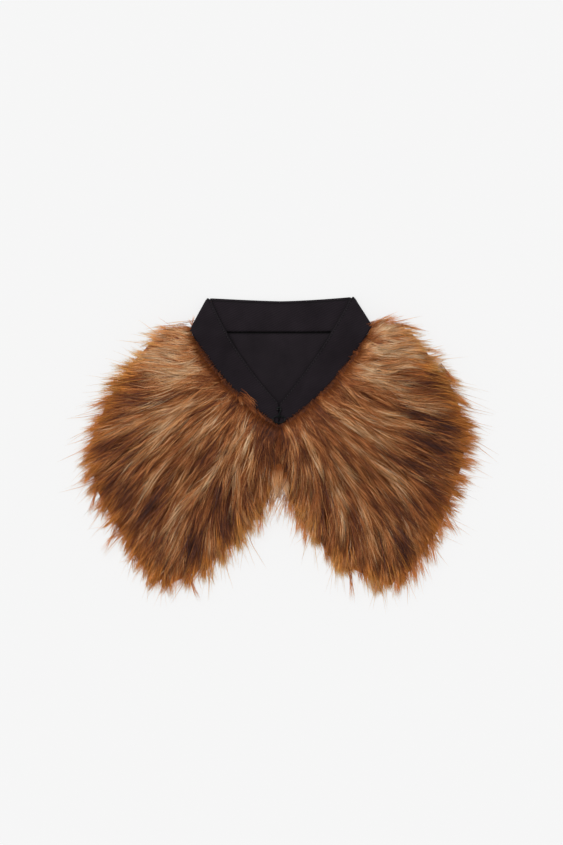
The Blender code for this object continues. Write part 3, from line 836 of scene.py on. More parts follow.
def spread_evenly(side, number, way_from, past_rim, seed):
    """(share, way) pairs that lie evenly over the front, out to some mm past its rim: the sequence
    n/g, n/g², n/g³ without whole parts, kept where the third is under the area of a step there."""
    order = np.arange(1, number * 12)[:, None] + seed * 1000
    u, v, chance = (order / GOLDEN ** np.arange(1, 4) % 1.0).T
    way = way_from + (1 + past_rim / reach(side, u) - way_from) * v
    step = 0.002
    here = front_plan(side, u, way)
    by_share = front_plan(side, u + step, way) - here
    by_way = front_plan(side, u, way + step) - here
    area = np.abs(by_share[:, 0] * by_way[:, 1] - by_share[:, 1] * by_way[:, 0])
    kept = np.flatnonzero(chance < area / np.percentile(area, 99))[:number]
    return u[kept], way[kept]


def lock_hairs(
    side, seed, locks, strands, hairs, way_from, past_rim, length, spread, levels, girth, points, lean, tint
):
    """Spines, girths, tones and rims of the hairs of one coat. A hair's point lies on its lock's path,
    at its way from root to tip, moved across by its offset, at low + (top - low) · level."""
    rng = np.random.default_rng(seed)
    lock_share, lock_way = spread_evenly(side, locks, way_from, past_rim, seed)
    locks = len(lock_share)
    lock = np.repeat(np.arange(locks), strands * hairs)
    strand = np.repeat(np.arange(locks * strands), hairs)
    number = len(lock)
    share, tip_way, long = lock_share[lock], lock_way[lock], reach(side, lock_share)[lock]
    fur = rng.uniform(*length, locks)[lock] * rng.uniform(*LONG_SPREAD, number)
    short = np.abs(rng.normal(0.0, SHORT_OF_TIP, locks * strands))[strand]
    tip_way = tip_way - (short + rng.exponential(SHORT_OF_TIP, number)) / long
    root_way = np.maximum(tip_way - fur / long, rng.uniform(*ROOT_WAYS, number))
    tip_way = np.maximum(tip_way, root_way + np.minimum(SHORTEST * fur / long, 0.85))
    t = np.linspace(0, 1, points)[None]
    way = root_way[:, None] + (tip_way - root_way)[:, None] * t
    shares = np.broadcast_to(share[:, None], way.shape)
    plan = front_plan(side, shares, way)
    run = unit(front_plan(side, shares, way + 0.01) - plan)

    # Across the lock: apart at the root, together at the tip, with a lean and a slow wave.
    offset = rng.normal(0.0, 1.0, locks * strands)[strand][:, None]
    width = spread[1] + (spread[0] - spread[1]) * (1 - t) ** 1.1
    wander = rng.normal(0.0, HAIR_WANDER, number)[:, None] * (1 - 0.6 * t)
    gone = rim_length(side, shares)
    drift = DRIFT * slow_pattern(PATTERN_SEED + 2, gone, way, *DRIFT_CELL)
    drift = drift * smooth_step(0.0, DRIFT_FROM, gone)
    wave = np.sin(rng.uniform(0, 2 * math.pi, locks * strands)[strand][:, None] + 3.2 * t) * t
    leaning = rng.normal(0.0, lean, locks)[lock] + rng.normal(0.0, STRAND_LEAN, locks * strands)[strand]
    stray = (rng.random(number) < STRAY_SHARE) * rng.normal(0.0, STRAY_LEAN, number)
    bend = (np.clip(way - CURL_FROM, 0, 1) / (1 - CURL_FROM)) ** 2
    curl = read(RIMS[side], RIM_COLUMNS, "curl", shares) * bend
    sideways = offset * width + wander + drift + STRAND_WAVE * wave
    sideways = sideways + leaning[:, None] * t**1.6 + stray[:, None] * t**1.5 - curl
    plan = plan + turned(run) * sideways[..., None]

    # Height: each lock lies at its own level, its middle higher than its sides.
    low = under_height(plan) + OVER_BED
    high = top_height(shares, way, plan)
    lock_level = rng.uniform(*levels, locks)[lock]
    drop = SIDE_DROP * np.minimum(offset[:, 0] ** 2, 2.5)
    tip_level = lock_level - drop - TIP_DROP * rng.random(number) ** 2
    root_level = rng.uniform(*ROOT_LEVELS, number)
    level = root_level[:, None] + (tip_level - root_level)[:, None] * (1 - (1 - t) ** 2.2)
    lift = rng.exponential(TIP_LIFT, number)[:, None] * t**3
    spine = with_height(plan, low + (high - low) * level + lift)

    # Tone: the place's, then the lock's, the strand's and the hair's own. Dark hairs that end at the
    # rim are painted paler, and hairs at the shoulder and the gap have more of the rim's painted
    # copper glow, both for light that comes through them from the table.
    middle = points // 2
    flat = np.array([SIDES[side]["sign"], 1.0])
    tone = place_tone(side, seed, share, way[:, middle], plan[:, middle] * flat, run[:, middle] * flat) + tint
    by_lock, by_strand, by_hair = TONE_SPREADS
    tone += rng.normal(0.0, by_lock, locks)[lock] + rng.normal(0.0, by_strand, locks * strands)[strand]
    tone += rng.normal(0.0, by_hair, number)
    glow = 1 + RIM_GLOW * (1 - smooth_step(0.22, 0.38, share) * (1 - smooth_step(0.76, 0.86, share)))
    rim = glow * smooth_step(RIM_FROM, RIM_TO, (tip_way - 1) * long)
    tone = np.where(tone < 0, tone * (1 - RIM_BACKLIGHT_PALING * np.minimum(rim, 1) ** 2), tone)
    return mirrored(side, spine), rng.uniform(*girth, number), np.clip(tone, -1.0, 1.0), rim


for side in SIDES:
    outer = (spread_evenly(side, 200, 0.0, 0, 1)[1] > 0.5).sum()
    print(f"Of 200 locks on the {side} front, {outer} end in the outer half, where there is more room")

# %% [markdown]
# ## Tufts one by one
#
# A few tufts make the outline what it is: the pointed ones at the shoulders, those that break up
# the rim, the long ones that close the gap under the hook, and loose ones that fall over the edge
# of the stand. They are placed one by one, each a row with its root, the way that it heads, its
# size and its tone. A fringe of fine hairs along the seam, dark rust painted darker for the shade
# at the stand's edge, hides where the stand meets the fur.

# %% Tuft tables and paths
# The long tufts in the gap under the hook have tones near 1, painted paler for the light that comes through
# them from the table.
TUFTS = {  # (x, y, z, heading in degrees, length, spread, curl, tone, hairs)
    "left": (
        (85, 114.5, 12, -2, 41, 3.4, 2, 0.50, 34), (84.5, 116.5, 11, -3, 41, 3.0, 2, 0.40, 34),
        (84, 118, 10, -3, 38, 2.6, 1, 0.35, 30), (85, 118, 10, 2, 26, 2.4, 1, 0.20, 22),
        (86, 121, 10, 60, 9, 1.2, 0, 0.10, 8), (86.5, 122, 10, 92, 11, 0.9, 1, -0.10, 6),
        (84, 117, 14, 12, 20, 3.0, 2, -0.10, 16), (75, 95, 16, -20, 26, 3.4, -2, -0.20, 14),
        (39, 53, 16.2, 197, 22, 5.0, 11, -0.20, 26), (36, 49, 16.2, 208, 21, 5.0, 9, -0.30, 26),
        (39, 51, 16.5, 254, 26, 2.4, 5, 0.70, 22), (30, 42, 16.2, 217, 20, 3.6, 5, -0.30, 22),
        (44, 55, 16.2, 262, 24, 2.6, 5, 0.15, 16), (22, 36, 16.2, 228, 17, 3.0, 3, -0.35, 16),
        (170, 47, 9, -18, 26, 3.0, 0, 0.0, 22), (173, 25, 9, -25, 25, 2.6, 0, 0.1, 20),
        (179, 6, 9, -28, 28, 3.2, 0, 0.2, 26), (181, 2, 9, -45, 25, 2.6, 0, -0.2, 18),
        (183, -25, 9, -40, 25, 2.4, 0, 0.1, 16), (183, -45, 9, -70, 25, 2.4, 0, -0.1, 16),
        (163, -84, 9, -54, 26, 4.4, 0, 0.1, 16), (147, -81, 9, -60, 26, 5.0, 0, 0.2, 24),
        (140, -97, 9, -55, 25, 4.6, 0, 0.1, 24), (132, -104, 9, -55, 26, 4.0, 0, 0.0, 22),
        (122, -119, 9, -60, 25, 4.0, 0, 0.2, 22), (90, -129, 9, -112, 27, 2.2, 0, -0.1, 18),
        (50, -94, 9, -95, 24, 3.4, 0, 0.1, 22), (34, -68, 9, -92, 22, 3.0, 0, 0.2, 18),
        (18, -68, 9, -88, 23, 3.4, 0, 0.1, 18), (8, -42, 10, -92, 26, 4.0, 0, 0.0, 20),
        (1, -17, 21, -84, 30, 5.0, 2, 0.50, 36), (6, -24, 19, -100, 32, 6.0, -3, 0.75, 36),
        (-4, -30, 16, -64, 34, 6.0, 0, 0.95, 34), (2, -44, 13, -70, 36, 8.0, 0, 0.80, 16),
        (0, 16, 24, -86, 28, 3.0, 0, -0.50, 26), (1, 6, 26, -86, 26, 3.0, 0, -0.40, 20),
    ),
    "right": (
        (89, 118, 12, 2, 46, 3.4, 2, 0.30, 34), (88.5, 120.5, 11, 3, 43, 3.2, 2, 0.25, 34),
        (88.5, 123, 10, 8, 38, 2.8, 2, 0.30, 28), (90, 122.5, 10, 17, 28, 2.4, 2, 0.15, 18),
        (96, 124, 10, 16, 26, 1.6, 0, 0.30, 10), (88, 121, 14, 20, 20, 2.8, 2, -0.05, 16),
        (39, 51, 17, -42, 22, 1.7, -2, 0.65, 12), (41, 54, 17, -66, 18, 1.8, 3, 0.10, 10),
        (28, 38.5, 17, -30, 18, 1.6, -4, 0.45, 10), (60, 77, 16.5, -48, 22, 2.8, -2, 0.0, 14),
        (74, 96, 16, -28, 24, 3.0, -2, -0.10, 14), (18, 31, 17, -60, 16, 1.8, -2, -0.20, 10),
        (124, 122, 9, -15, 25, 2.0, 0, 0.2, 14), (144, 98, 9, -8, 26, 2.0, 0, -0.3, 12),
        (150, 85, 9, -30, 25, 3.0, 0, 0.1, 20), (168, 74, 9, -45, 22, 3.0, 0, 0.1, 20),
        (175, 54, 9, -40, 22, 3.0, 0, 0.2, 20), (178, 10, 9, -5, 26, 2.8, 0, 0.1, 24),
        (181, -9, 9, -20, 26, 2.6, 0, -0.1, 20), (172, -24, 9, -30, 26, 2.4, 0, 0.1, 18),
        (165, -66, 9, -62, 26, 3.4, 0, 0.1, 24), (158, -74, 9, -78, 24, 3.0, 0, 0.2, 20),
        (152, -95, 9, -78, 26, 4.0, 0, 0.1, 26), (139, -108, 9, -75, 26, 4.6, 0, 0.2, 28),
        (134, -115, 9, -80, 26, 4.0, 0, 0.0, 26), (118, -126, 9, -88, 26, 3.4, 0, 0.1, 24),
        (77, -113, 9, -75, 25, 3.0, 0, 0.1, 20), (72, -128, 9, -86, 27, 2.6, 0, 0.0, 16),
        (46, -96, 9, -82, 25, 3.4, 0, 0.2, 22), (22, -65, 9, -85, 26, 4.6, 0, 0.1, 24),
        (13, -51, 10, -88, 26, 4.0, 0, 0.1, 20), (6, -44, 10, -88, 27, 3.6, 0, -0.1, 14),
        (2, -16, 21, -99, 30, 5.0, 2, 0.50, 36), (6, -24, 19, -88, 32, 6.0, 3, 0.75, 36),
        (9, -28, 16, -116, 34, 6.0, 0, 0.95, 34), (8, -42, 13, -112, 38, 8.0, 0, 0.80, 16),
        (12, -42, 11, -93, 28, 3.4, 0, 0.25, 34), (19, -62, 10, -94, 28, 3.4, 0, 0.20, 34),
        (26, -76, 9, -93, 26, 3.4, 0, 0.15, 28),
    ),
}
TUFT_GIRTH, TUFT_TURN, TUFT_LONG, TUFT_TONE = (0.30, 0.44), 4.5, (0.7, 1.1), 0.15
TUFT_RISE, TUFT_Z, TUFT_OVER_BED = 1.5, (-0.6, 0.8), 1.5
TUCK_UNDER_Z, TUCK = 9.5, 12.0  # tufts lower than that start this much further in than their row says
SEAM_HAIRS, SEAM_SHARES = 900, (0.07, 0.995)  # the fringe over the stand's edge
SEAM_TURN, SEAM_Z, SEAM_LONG = 24.0, (2.6, 4.4), (10.0, 20.0)
# The fringe's tones are dark rust, painted darker for the shade at the stand's edge.
SEAM_SPREAD, SEAM_CURL, SEAM_RUST_AND_SHADE_TONES, SEAM_ARCH = 0.8, 2.0, (-0.75, 0.2), (0.2, 0.6)


def tuft_hairs(side, seed):
    """Spines, girths, tones and rims of one front's tufts, each a bundle of hairs from one root, and
    of the fringe, whose hairs arch over the stand's edge. A hair curls as the square of its way."""
    rng = np.random.default_rng(seed)
    rows = np.array(TUFTS[side], float)
    rows = np.repeat(rows, rows[:, -1].astype(int), axis=0)
    share = rng.uniform(*SEAM_SHARES, SEAM_HAIRS)
    root = front_plan(side, share, np.full(SEAM_HAIRS, -0.002))
    ahead = front_plan(side, share, np.full(SEAM_HAIRS, 0.05)) - root
    heading = np.degrees(np.arctan2(ahead[:, 1], ahead[:, 0])) + rng.normal(0.0, SEAM_TURN, SEAM_HAIRS)
    fringe = [
        root[:, 0], root[:, 1], under_height(root) + rng.uniform(*SEAM_Z, SEAM_HAIRS), heading,
        rng.uniform(*SEAM_LONG, SEAM_HAIRS), np.full(SEAM_HAIRS, SEAM_SPREAD),
        rng.normal(0.0, SEAM_CURL, SEAM_HAIRS), rng.normal(*SEAM_RUST_AND_SHADE_TONES, SEAM_HAIRS), np.ones(SEAM_HAIRS),
    ]
    rows = np.concatenate([rows, np.stack(fringe, axis=1)])
    x, y, z, heading, length, spread, curl, tone = rows[:, :-1].T
    number = len(rows)
    turn = np.radians(heading + rng.normal(0.0, TUFT_TURN, number))
    run = np.stack([np.cos(turn), np.sin(turn)], axis=1)[:, None]
    t = np.linspace(0, 1, 4)[None, :, None]
    offset = (rng.normal(0.0, 1.0, number) * spread / 2)[:, None, None] * (1 - 0.8 * t)
    long = (length * rng.uniform(*TUFT_LONG, number))[:, None, None]
    arch = np.where(rows[:, -1] == 1, rng.uniform(*SEAM_ARCH, number), 0.0)[:, None, None]
    tuck = np.where(z < TUCK_UNDER_Z, TUCK, 0.0)[:, None, None]
    plan = np.stack([x, y], axis=1)[:, None] + run * ((long + tuck) * (t - 4 * arch * t * (1 - t)) - tuck)
    plan = plan + turned(run) * (offset + curl[:, None, None] * t**2)
    arc = TUFT_RISE * np.sin(math.pi * t[..., 0] * 0.8)
    rise = z[:, None] + rng.uniform(*TUFT_Z, number)[:, None] + arc
    floor = under_height(plan) + TUFT_OVER_BED
    height = np.maximum(rise * (1 - 0.35 * t[..., 0] ** 2), floor)
    tone = np.clip(tone + rng.normal(0.0, TUFT_TONE, number), -1, 1)

    # The lower a tuft lies, the nearer to the outline its hairs end, and the more of the rim's
    # painted copper glow it takes. Those in the gap under the hook lie high and end at it too.
    rim = np.where(z < 11.5, 0.9, np.where(z < 12.5, 0.3, np.where(y < -15.0, 0.6, 0.0)))
    return mirrored(side, with_height(plan, height)), rng.uniform(*TUFT_GIRTH, number), tone, rim


for side in SIDES:
    print(side, "front:", len(TUFTS[side]), "tufts and", SEAM_HAIRS, "hairs of the fringe")

# %% [markdown]
# ## The coats
#
# The locks lie in five coats, from the bottom up: thick, dark hairs below, the main coat over
# them, longer and finer hairs on top, a fringe round the rim and single dark guard hairs that
# reach past it. A row of the table says how many locks a coat has, how many strands in a lock and
# hairs in a strand, and how long, wide, high, thick and dark they are.

# %% Coats of hair
COAT_COLUMNS = (
    "locks", "strands", "hairs", "way_from", "past_rim", "length", "spread", "levels", "girth", "points",
    "lean", "tint",
)
COATS = {
    "underhair": (400, 4, 4, 0.05, 2, (26, 42), (4.4, 1.6), (0.70, 0.90), (0.40, 0.58), 3, 4.5, -0.12),
    "overhair": (860, 5, 3, 0.10, 9, (30, 50), (4.0, 1.5), (0.82, 0.98), (0.28, 0.46), 3, 4.5, 0.0),
    "tophair": (420, 5, 3, 0.16, 12, (44, 70), (3.6, 1.0), (0.92, 1.08), (0.26, 0.42), 4, 4.5, 0.05),
    "fringe": (570, 4, 4, 0.86, 10, (22, 36), (2.8, 0.6), (0.45, 1.0), (0.42, 0.60), 3, 4.5, 0.1),
    "guard_hair": (400, 1, 1, 0.78, 28, (60, 90), (3.0, 2.0), (0.95, 1.12), (0.46, 0.66), 4, 12.0, -0.85),
}
FIRST_COAT_SEED, TUFT_SEED = 11, 71
coats = {side: [] for side in SIDES}
for place, side in enumerate(SIDES):
    for layer, (name, row) in enumerate(COATS.items()):
        seed = FIRST_COAT_SEED + 10 * layer + place
        locks_of_coat = lock_hairs(side, seed, **dict(zip(COAT_COLUMNS, row)))
        coats[side].append(add_hairs(f"{name}_{side}", *locks_of_coat, seed))
    seed = TUFT_SEED + place
    coats[side].append(add_hairs(f"tufts_{side}", *tuft_hairs(side, seed), seed))
    print(side, "front:", ", ".join(f"{coat.name} {len(coat.data.polygons)} faces" for coat in coats[side]))

# %% [markdown]
# ## The stand
#
# The stand is a strip of cloth 32 mm wide. Pressed flat, its back lies inner face up and its two
# fronts cross over it, outer face up, to the hook. Each front turns under at the shoulder in a
# tight fold. All three are closed shells about a middle surface, with their long edges rounded.

# %% Sizes, heights and wall of the stand
EDGE_GROOVE = 2.5  # from the free edge to the topstitching
STITCH, STITCH_GAP = 2.2, 0.7
STAND_WIDTH = 32.0
CORNER_ROUND = (3.0, 0.6)  # of the fronts, and of the nape stretch
FOLD_ROWS, FOLD_TURNS = 12, (170.0, 12.0)  # degrees round the fold, from its lower face to its top
FRONT_COLUMNS, NAPE_COLUMNS, STAND_ROWS = 84, 96, 30
LEAST_HALF = 0.12  # of the wall, at its very edges


def nape_z(y):
    """The nape stretch slopes from its seam down to the table at its free edge."""
    share = np.clip((y - NAPE_SEAM_Y) / (NAPE_EDGE_Y - NAPE_SEAM_Y), -0.1, 1.1)
    return NAPE_SEAM_Z + (NAPE_EDGE_Z - NAPE_SEAM_Z) * share


def front_stand_z(y):
    """The fronts lie on the nape stretch, and further down on the lining."""
    on_lining = BED + STAND_WALL / 2
    on_nape = nape_z(y) + 2 * STAND_FOLD
    return on_lining + (on_nape - on_lining) * smooth_step(NAPE_SEAM_Y - 22.0, NAPE_SEAM_Y - 3.0, y)


def wall(name, middle, up, relief):
    """A shell about a middle surface. Its half thickness follows a rounded box across the strip,
    (1 - |2u - 1|¹⁴)^0.4, and relief lowers or raises the side that shows. The edge attribute is 1 on
    the turned edge, for a painted highlight, and below 0 in the stitched groove and down the edge's
    side, for painted shade."""
    normal = grid_normals(middle)
    half = STAND_WALL / 2 * np.maximum(1 - np.abs(2 * up - 1) ** 14, 0.0) ** 0.4
    half = np.maximum(half, LEAST_HALF)[None, :, None]
    relief = relief * (half[..., 0] > 0.5)
    over = middle + normal * (half + relief[..., None])
    under = middle - normal * half
    across = up * STAND_WIDTH
    # The edge attribute paints light and shade: a highlight on the turned edge, and shade in the stitched
    # groove and, darkest, down the edge's side.
    edge_highlight = smooth_step(STAND_WIDTH - EDGE_GROOVE, STAND_WIDTH - 0.6 * EDGE_GROOVE, across)
    stitches = np.exp(-(((across - STAND_WIDTH + EDGE_GROOVE) / 0.6) ** 2))
    side_shade = smooth_step(STAND_WIDTH - 1.3, STAND_WIDTH - 0.5, across)
    edge = edge_highlight - stitches - 2.5 * side_shade
    edge = np.tile(np.broadcast_to(edge, middle.shape[:2]).ravel(), 2)
    return shell(name, over, under, cloth, [("edge", edge)])


def strip_shares(rows):
    """Shares across the strip, closer together at both edges: half a turn's cosine, eased."""
    even = np.linspace(0.0, 1.0, rows)
    return 0.35 * even + 0.65 * (1 - np.cos(math.pi * even)) / 2


print("The middle of a front lies", round(float(front_stand_z(0.0)), 1), "mm up at the hook")

# %% [markdown]
# ## Creases and stitched grooves
#
# Pressed cloth is never quite flat. Its creases are listed, as long shallow dents, and
# the topstitching draws the free edge in, so a groove runs beside it and the edge puckers a little
# from stitch to stitch.

# %% Crease tables and relief
GROOVE_DEPTH, GROOVE_HALF_WIDTH = 0.35, 0.55
PUCKER, PUCKER_REACH = 0.06, 3.0  # height, and distance from the stitches over which it fades


def soft_dents(along, across, rows):
    """Listed creases. Each row is (along mm, across mm, half length, half width, turn, depth), and
    the dents add up as depth · exp(-(run / half length)² - (side / half width)²)."""
    total = np.zeros_like(along)
    for place_along, place_across, half_length, half_width, turn, depth in rows:
        a, c = along - place_along, across - place_across
        cos, sin = math.cos(math.radians(turn)), math.sin(math.radians(turn))
        run, side = a * cos + c * sin, c * cos - a * sin
        total -= depth * np.exp(-((run / half_length) ** 2) - (side / half_width) ** 2)
    return total


def stitched_edge(along, across):
    """The relief by the free edge: a thin line pressed in by the stitches, and a pucker to either
    side of it, in a wave as long as two stitches."""
    away = across - STAND_WIDTH + EDGE_GROOVE
    pucker = PUCKER * np.sin(along * 2 * math.pi / (2 * (STITCH + STITCH_GAP)))
    groove = -GROOVE_DEPTH * np.exp(-((away / GROOVE_HALF_WIDTH) ** 2))
    return groove + pucker * np.exp(-((away / PUCKER_REACH) ** 2))


FRONT_DENTS = {
    "left": (
        (28, 14, 26, 5, 12, 0.5), (74, 20, 22, 4, -20, 0.45),
        (104, 10, 16, 4, 25, 0.4), (52, 8, 14, 3, -8, 0.3),
    ),
    "right": (
        (22, 18, 24, 5, -10, 0.5), (62, 12, 26, 4.5, 18, 0.45),
        (100, 20, 14, 4, -30, 0.4), (84, 8, 12, 3, 5, 0.3),
    ),
}
NAPE_DENTS = (
    (-44, 22, 6, 12, 20, 0.9), (48, 21, 6, 12, -20, 0.9), (-12, 14, 14, 6, 8, 0.5),
    (20, 18, 16, 5, -6, 0.45), (2, 27, 40, 3, 0, 0.35), (-30, 6, 12, 3, 5, 0.3),
)
creases = {**FRONT_DENTS, "nape": NAPE_DENTS}
print("Creases by hand:", {name: len(rows) for name, rows in creases.items()})

# %% [markdown]
# ## The stand's three stretches
#
# A front runs between two curves, that of its seam and that of its free edge. The nape stretch is
# nearly straight, with its ends lifted to meet the fronts. The corners of the free edge are
# rounded, as they are when a strip is turned right side out.

# %% Stand shells


def rounded_corner(along, across, radius):
    """Distances in mm from a strip's end and from its free edge, with the corner between rounded: in
    the last few mm the square (p, q) becomes a quarter disc, (p·√(1 - q²/2), q·√(1 - p²/2))."""
    p, q = 1 - along / radius, 1 - across / radius
    near = (p > 0) & (q > 0)
    p, q = np.clip(p, 0, 1), np.clip(q, 0, 1)
    along = np.where(near, radius * (1 - p * np.sqrt(1 - q**2 / 2)), along)
    across = np.where(near, radius * (1 - q * np.sqrt(1 - p**2 / 2)), across)
    return along, across


def front_strip(side, share, up):
    """A front of the stand in plan: straight across from its seam curve to its edge curve."""
    seam, edge = (bezier(SIDES[side][name], share) for name in ("seam", "edge"))
    return seam * (1 - up[..., None]) + edge * up[..., None]


def strip_length(side, up, steps=60):
    """The length of a front of the stand along a line at one share of its width."""
    line = front_strip(side, np.linspace(0, 1, steps), np.full(steps, float(up)))
    return np.linalg.norm(np.diff(line, axis=0), axis=1).sum()


def stand_front(side):
    """The panel between its seam and edge curves, led by the half circle of its fold."""
    share, up = np.meshgrid(np.linspace(0.0, 1.0, FRONT_COLUMNS), strip_shares(STAND_ROWS), indexing="ij")
    length = strip_length(side, 0.0, FRONT_COLUMNS)
    along, from_edge = rounded_corner(share * length, (1 - up) * STAND_WIDTH, CORNER_ROUND[0])
    plan = front_strip(side, along / length, 1 - from_edge / STAND_WIDTH)
    panel = with_height(plan, front_stand_z(plan[..., 1]))
    outwards = np.array([*unit(turned(plan[0, 0] - plan[0, -1])), 0.0])
    turns = np.radians(np.linspace(*FOLD_TURNS, FOLD_ROWS))[:, None, None]
    fold = panel[0] + STAND_FOLD * (outwards * np.sin(turns) + np.array([0, 0, 1.0]) * (np.cos(turns) - 1))
    middle = mirrored(side, np.concatenate([fold, panel]))
    along = np.concatenate([np.full((FOLD_ROWS, up.shape[1]), -3.0), share * length])
    across = np.concatenate([up[:FOLD_ROWS], up]) * STAND_WIDTH
    relief = soft_dents(along, across, FRONT_DENTS[side]) + stitched_edge(along, across)
    order = slice(None, None, -1) if SIDES[side]["sign"] > 0 else slice(None)
    return wall(f"stand_front_{side}", middle[order], up[0], relief[order])


def nape_plan(share, up):
    """The nape stretch in plan, at shares from -1 to 1 of its length and 0 to 1 of its width. Its
    ends lift to the fronts' corners: early along the free edge, late along the seam."""
    left, right = SIDES["left"], SIDES["right"]
    ends = []
    for name, y in (("seam", NAPE_SEAM_Y), ("edge", NAPE_EDGE_Y)):
        out_left, out_right = left[name][0][0], right[name][0][0]
        lift_left, lift_right = left[name][0][1] - y, right[name][0][1] - y
        x = share * (out_left + out_right) / 2 + (out_right - out_left) / 2
        lift = (lift_right + lift_left) / 2 + (lift_right - lift_left) / 2 * share
        ends.append(np.stack([x, y + lift * np.abs(share) ** (1.4 if name == "edge" else 4)], axis=-1))
    return ends[0] * (1 - up[..., None]) + ends[1] * up[..., None]


def stand_nape():
    """The nape stretch, with both corners of its free edge rounded."""
    ends = np.linspace(-NAPE_LENGTH, NAPE_LENGTH, NAPE_COLUMNS)
    share, up = np.meshgrid(ends, strip_shares(STAND_ROWS), indexing="ij")
    half = (SIDES["left"]["seam"][0][0] + SIDES["right"]["seam"][0][0]) / 2
    from_end, from_edge = rounded_corner(
        (NAPE_LENGTH - np.abs(share)) * half, (1 - up) * STAND_WIDTH, CORNER_ROUND[1]
    )
    plan = nape_plan(np.sign(share) * (NAPE_LENGTH - from_end / half), 1 - from_edge / STAND_WIDTH)
    middle = with_height(plan, nape_z(plan[..., 1]))
    relief = soft_dents(share * half, up * STAND_WIDTH, NAPE_DENTS)
    return wall("stand_nape", middle, up[0], relief)


stand = {side: stand_front(side) for side in SIDES}
stand["nape"] = stand_nape()
print("Stand:", ", ".join(f"{piece.name} {len(piece.data.polygons)} faces" for piece in stand.values()))

# %% [markdown]
# ## The lining
#
# Through the neck the back panel's lining shows, nearly plain, with a few faint creases that run
# up and down, where the panel was folded. Near the nape seam it sinks under the stand, and a
# painted shade along that seam gives its dark line. The lining as a whole is painted a shade
# lighter than the stand.

# %% Lining shell
LINING_CREASES = (
    (-34, 78, 22, 2.4, 84, 0.45), (-12, 62, 26, 2.8, 96, 0.4), (9, 84, 24, 2.2, 88, 0.35),
    (30, 76, 20, 2.6, 97, 0.45), (-2, 98, 12, 2.0, 80, 0.3), (48, 96, 14, 3.0, 100, 0.3),
    (-55, 96, 12, 3.0, 76, 0.3),
)
LINING_SHARES, LINING_WAYS, LINING_GRID = (0.97, 0.03), (-0.06, 0.72), (90, 52)
ALLOWANCE = 5.0
SINK_FROM_Y, SINK_UNDER_STAND = 108.0, 2.6


def back_plan(share, way):
    """The back panel in plan: straight paths from the nape seam to the rim of a rounded box, at
    turns from the right shoulder round to the left one."""
    out_right = SIDES["right"]["seam"][0][0] - NAPE_FUR_INSET
    out_left = SIDES["left"]["seam"][0][0] - NAPE_FUR_INSET
    seam = np.stack([out_right - (out_right + out_left) * share, np.full_like(share, NAPE_FUR_Y)], axis=-1)
    turn = np.radians(BACK_TURN[0] + (BACK_TURN[1] - BACK_TURN[0]) * share)
    ray = np.stack([np.cos(turn), np.sin(turn)], axis=-1)
    out = 1 / back_share(ray[..., 0], ray[..., 1] + BACK_CENTRE_Y)
    rim = np.array([0.0, BACK_CENTRE_Y]) + ray * out[..., None]
    return seam + (rim - seam) * np.asarray(way)[..., None]


def back_grid(shares, ways, grid):
    """Shares and ways on a grid over the back panel."""
    return np.meshgrid(np.linspace(*shares, grid[0]), np.linspace(*ways, grid[1]), indexing="ij")


def nape_sink(y):
    """How far the back panel's layers sink towards the nape seam and, past it, under the stand."""
    past_seam = smooth_step(NAPE_FUR_Y - 0.3, NAPE_FUR_Y + 1.9, y)
    return smooth_step(SINK_FROM_Y, NAPE_FUR_Y, y) + SINK_UNDER_STAND * past_seam


def lining_piece():
    """The sheet, and past the nape seam its allowance, which dips under the stand's seam edge."""
    share, way = back_grid(LINING_SHARES, LINING_WAYS, LINING_GRID)
    plan = back_plan(share, np.maximum(way, 0.0))
    plan[..., 1] += ALLOWANCE * np.maximum(-way, 0.0) / -LINING_WAYS[0]
    low = BACK_FUR + GAP
    crease = soft_dents(plan[..., 0], plan[..., 1], LINING_CREASES)
    sink = nape_sink(plan[..., 1])
    over = with_height(plan, low + LINING_WALL + np.maximum(crease, -1.1) - sink)
    under = with_height(plan, low - np.maximum(sink - 0.9, 0.0))
    # The edge attribute at 0.7 paints the whole lining a shade lighter, and below 0 by the nape seam it
    # paints a shade line.
    edge = np.tile((0.7 - 1.7 * smooth_step(NAPE_FUR_Y - 1.6, NAPE_FUR_Y, plan[..., 1])).ravel(), 2)
    return shell("neck_lining", over, under, cloth, [("edge", edge)])


lining = lining_piece()
print(lining.name, len(lining.data.polygons), "faces")

# %% [markdown]
# ## The back panel
#
# The back panel lies fur side down, so from above it only shows as the thickness under the fronts.
# Turned over, it is what one sees. It has the same layers as a front: a knitted backing, a bed of
# undercoat below it, and hairs that leave the bed, run from the nape to the rim and lie pressed on
# the table.

# %% Back panel
BACK_SHARES = (0.99, 0.01)
BACK_BACKING_WAYS, BACK_BED_WAYS = (0.01, 0.80), (0.01, 0.93)
BACK_BACKING_GRID, BACK_BED_GRID = (70, 24), (80, 24)
BACK_BED_Z = 1.3  # over the table
BACK_HAIRS, BACK_BUNDLE, BACK_GIRTH = 4200, 6, (0.6, 0.9)
BACK_LONG, BACK_LEAN, BACK_STRAY = (0.25, 0.42), 5.0, 1.5  # ways, and mm to either side


def back_top(way, plan):
    """The top of the back panel: flat, lower at its rim and where it sinks into the nape seam."""
    return BACK_FUR - (BACK_FUR - BACK_RIM) * smooth_step(0.75, 1.0, way) - nape_sink(plan[..., 1])


def back_layer(name, ways, grid, from_top, low, material, attributes=False):
    """A layer of the back panel, from so far under its top down to the height low, or, where low is
    negative, down by that thickness. Its attributes are those that the undercoat reads."""
    share, way = back_grid(BACK_SHARES, ways, grid)
    plan = back_plan(share, way)
    top = back_top(way, plan) - from_top
    over = with_height(plan, top)
    under = with_height(plan, low if low > 0 else top + low)
    flow = [("across", np.tile((share * 180.0).ravel(), 2)), ("along", np.tile((way * 9.0).ravel(), 2))]
    return shell(name, over, under, material, flow if attributes else ())


